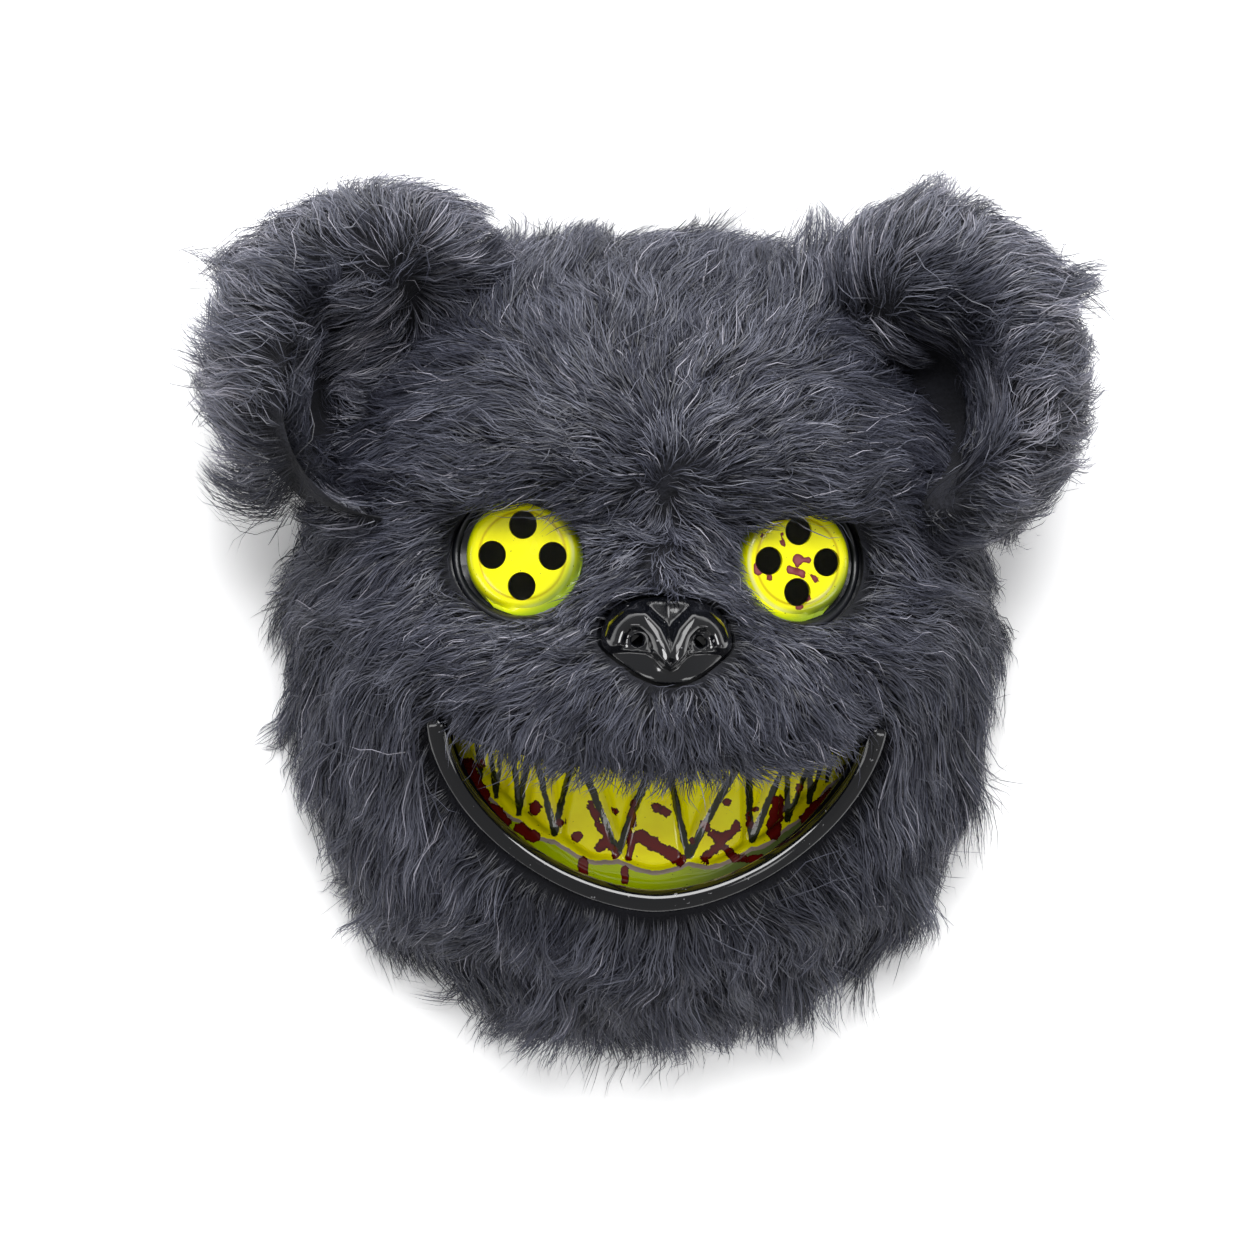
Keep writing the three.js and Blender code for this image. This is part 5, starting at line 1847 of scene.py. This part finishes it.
def tooth_shapes(x, y):
    """How deep places lie in a groove and how far over the gum, in millimetres."""
    groove = np.full_like(x, -9.0)
    for across, along, left, right, wide in FANGS:
        up = y - along
        for lean, hand in ((left, -1), (right, 1)):
            centre = across + hand * lean * np.maximum(up, 0)
            gap = np.abs(x - centre) / math.sqrt(1 + lean * lean)
            groove = np.maximum(groove, np.minimum(0.64 * wide - gap, up + 0.8))
    tips = np.array([(row[0], row[1]) for row in FANGS])
    ends = [(-60.0, -28.0), (-54.0, -36.0), *tips.tolist(), (55.0, -36.0), (60.0, -28.0)]
    across, along = np.array(ends).T
    line = np.interp(x, across, along)
    slack = np.interp(x, across[:-1] + np.diff(across) / 2, np.diff(across))
    phase = np.zeros_like(x)
    for left, right in zip(across[:-1], across[1:]):
        inside = (x >= left) & (x < right)
        phase = np.where(inside, (x - left) / (right - left), phase)
    gum = y - (line - 2.2 - 0.14 * slack * np.sin(np.pi * phase))
    return groove, gum


class MASK_OT_teeth(bpy.types.Operator):
    """Shapes and paints the tooth plate behind the grin"""

    bl_idname = "mask.teeth"
    bl_label = "Teeth"

    def execute(self, context):
        scene = context.scene
        grin, shell_settings = scene.mask_grin, scene.mask_shell
        plate, u, v = grid("tooth_relief", 220, 44)
        margin = 3.2 * UNIT
        x, y = grin_point((u + 1) / 2, (1 - v) / 2, grin, margin)
        groove, gum = tooth_shapes(x / UNIT, y / UNIT)
        ridge = np.exp(-((gum / 0.8) ** 2))
        crown = ease(gum, 0.0, 2.0) * ease(groove, 0.4, -1.0)
        rise = grin.relief * (0.75 * crown + 0.16 * ridge + 0.2 * ease(gum, 0, -3))
        edge = np.minimum(1 - np.abs(u), 1 - np.abs(v))
        back = shell_settings.wall + grin.set_back + grin.relief - rise
        back = mix(shell_settings.wall + 0.4 * UNIT, back, ease(edge, 0.0, 0.07))
        flat = np.stack([x, y, face_height(x, y)], axis=-1)
        write_points(plate, flat - unit(face_slope(flat)) * back[:, None])
        apply_modifier(plate, "SOLIDIFY", thickness=grin.plate_wall, offset=-1)
        points = read_points(plate)
        across, along = points[:, 0] / UNIT, points[:, 1] / UNIT
        groove, gum = tooth_shapes(across, along)
        store(plate, "groove", groove)
        store(plate, "gum", gum)
        store(plate, "stain", stain_distance(across, along, TOOTH_STAINS))
        # How far the gum takes its olive painted shade, growing to the right and down.
        store(plate, "turned", ease(across - 0.6 * (along + 60), 4, 30))
        corner = ease(np.abs(across), 46, 57)
        store(plate, "shadow", 0.9 * corner * ease(along, -48, -38))
        outward(plate)
        smooth(to_frame(plate), 60)
        hand_over(plate, tooth_finish(grin), "yellow_teeth", "tooth_plate")
        return {"FINISHED"}


# Studio


def add_softbox(name, spot, size, watts):
    """A softbox that lights the mask from its place."""
    deselect()
    bpy.ops.object.light_add(type="AREA", location=spot)
    light = bpy.context.object
    light.name = name
    light.data.shape = "RECTANGLE"
    light.data.size, light.data.size_y = size
    light.data.energy = watts
    aim = Vector((0, 0, 0.05)) - light.location
    light.rotation_euler = aim.to_track_quat("-Z", "Y").to_euler()


def place_camera(scene, studio):
    """The camera in front of the face, a little from the left."""
    target = Vector((-0.0064, -0.0004, 0.055))
    away = Vector((-math.sin(studio.lean), 0, math.cos(studio.lean)))
    up = Matrix.Rotation(studio.roll, 3, away) @ Vector((0, 1, 0))
    turn = Matrix((up.cross(away), up, away)).transposed()
    camera_data = bpy.data.cameras.new("camera")
    camera = bpy.data.objects.new("camera", camera_data)
    scene.collection.objects.link(camera)
    camera.matrix_world = Matrix.Translation(target + away * studio.distance) @ turn.to_4x4()
    camera_data.sensor_width = 36
    camera_data.lens = camera_data.sensor_width * studio.distance / studio.span
    camera_data.clip_end = 20
    scene.camera = camera


class MASK_OT_studio(bpy.types.Operator):
    """Sets the pale floor, the softboxes, the room's light and the camera"""

    bl_idname = "mask.studio"
    bl_label = "Studio"

    def execute(self, context):
        scene = context.scene
        studio = scene.mask_studio
        deselect()
        bpy.ops.mesh.primitive_plane_add(size=6)
        floor = fresh("studio_floor")
        floor.data.materials.append(floor_finish())
        boxes = [
            # name, place, size, power
            ("key_softbox", (-0.05, 0.8, 1.1), (1.0, 0.8), studio.key),
            ("top_softbox", (0.0, 1.35, 0.5), (1.2, 0.5), studio.top),
            ("left_softbox", (-1.1, -0.5, 0.75), (0.4, 0.9), studio.fill),
            ("right_softbox", (1.1, -0.5, 0.75), (0.4, 0.9), studio.fill),
        ]
        for box in boxes:
            add_softbox(*box)
        world = bpy.data.worlds.new("pale_room")
        world.use_nodes = True
        room = world.node_tree.nodes["Background"]
        room.inputs["Color"].default_value = WHITE
        room.inputs["Strength"].default_value = studio.sky
        scene.world = world
        place_camera(scene, studio)
        scene.view_settings.view_transform = "Standard"
        return {"FINISHED"}


class MASK_PT_panel(bpy.types.Panel):
    """The mask's pieces and their settings"""

    bl_idname = "MASK_PT_panel"
    bl_label = "Bear Mask"
    bl_space_type = "VIEW_3D"
    bl_region_type = "UI"
    bl_category = "Bear Mask"

    def draw(self, context):
        for operator in OPERATORS:
            self.layout.operator(operator.bl_idname)
        for name, group in SETTINGS.items():
            box = self.layout.box()
            box.label(text=group.__doc__)
            for key in group.__annotations__:
                box.prop(getattr(context.scene, name), key)


OPERATORS = [
    MASK_OT_studio,
    MASK_OT_face_shell,
    MASK_OT_lenses,
    MASK_OT_teeth,
    MASK_OT_lip,
    MASK_OT_nose,
    MASK_OT_plush_cover,
    MASK_OT_face_fur,
    MASK_OT_ears,
]


def register():
    """Registers the settings, the operators and the panel."""
    for group in SETTINGS.values():
        bpy.utils.register_class(group)
    for name, group in SETTINGS.items():
        setattr(bpy.types.Scene, name, bpy.props.PointerProperty(type=group))
    for operator in (*OPERATORS, MASK_PT_panel):
        bpy.utils.register_class(operator)


def unregister():
    """Takes everything out again."""
    for operator in reversed((*OPERATORS, MASK_PT_panel)):
        bpy.utils.unregister_class(operator)
    for name in SETTINGS:
        delattr(bpy.types.Scene, name)
    for group in reversed(SETTINGS.values()):
        bpy.utils.unregister_class(group)


def main():
    """Builds the mask piece by piece."""
    register()
    bpy.ops.mask.studio()
    bpy.ops.mask.face_shell()
    bpy.ops.mask.lenses()
    bpy.ops.mask.teeth()
    bpy.ops.mask.lip()
    bpy.ops.mask.nose()
    bpy.ops.mask.plush_cover()
    bpy.ops.mask.face_fur()
    bpy.ops.mask.ears()
    deselect()


if __name__ == "__main__":
    main()
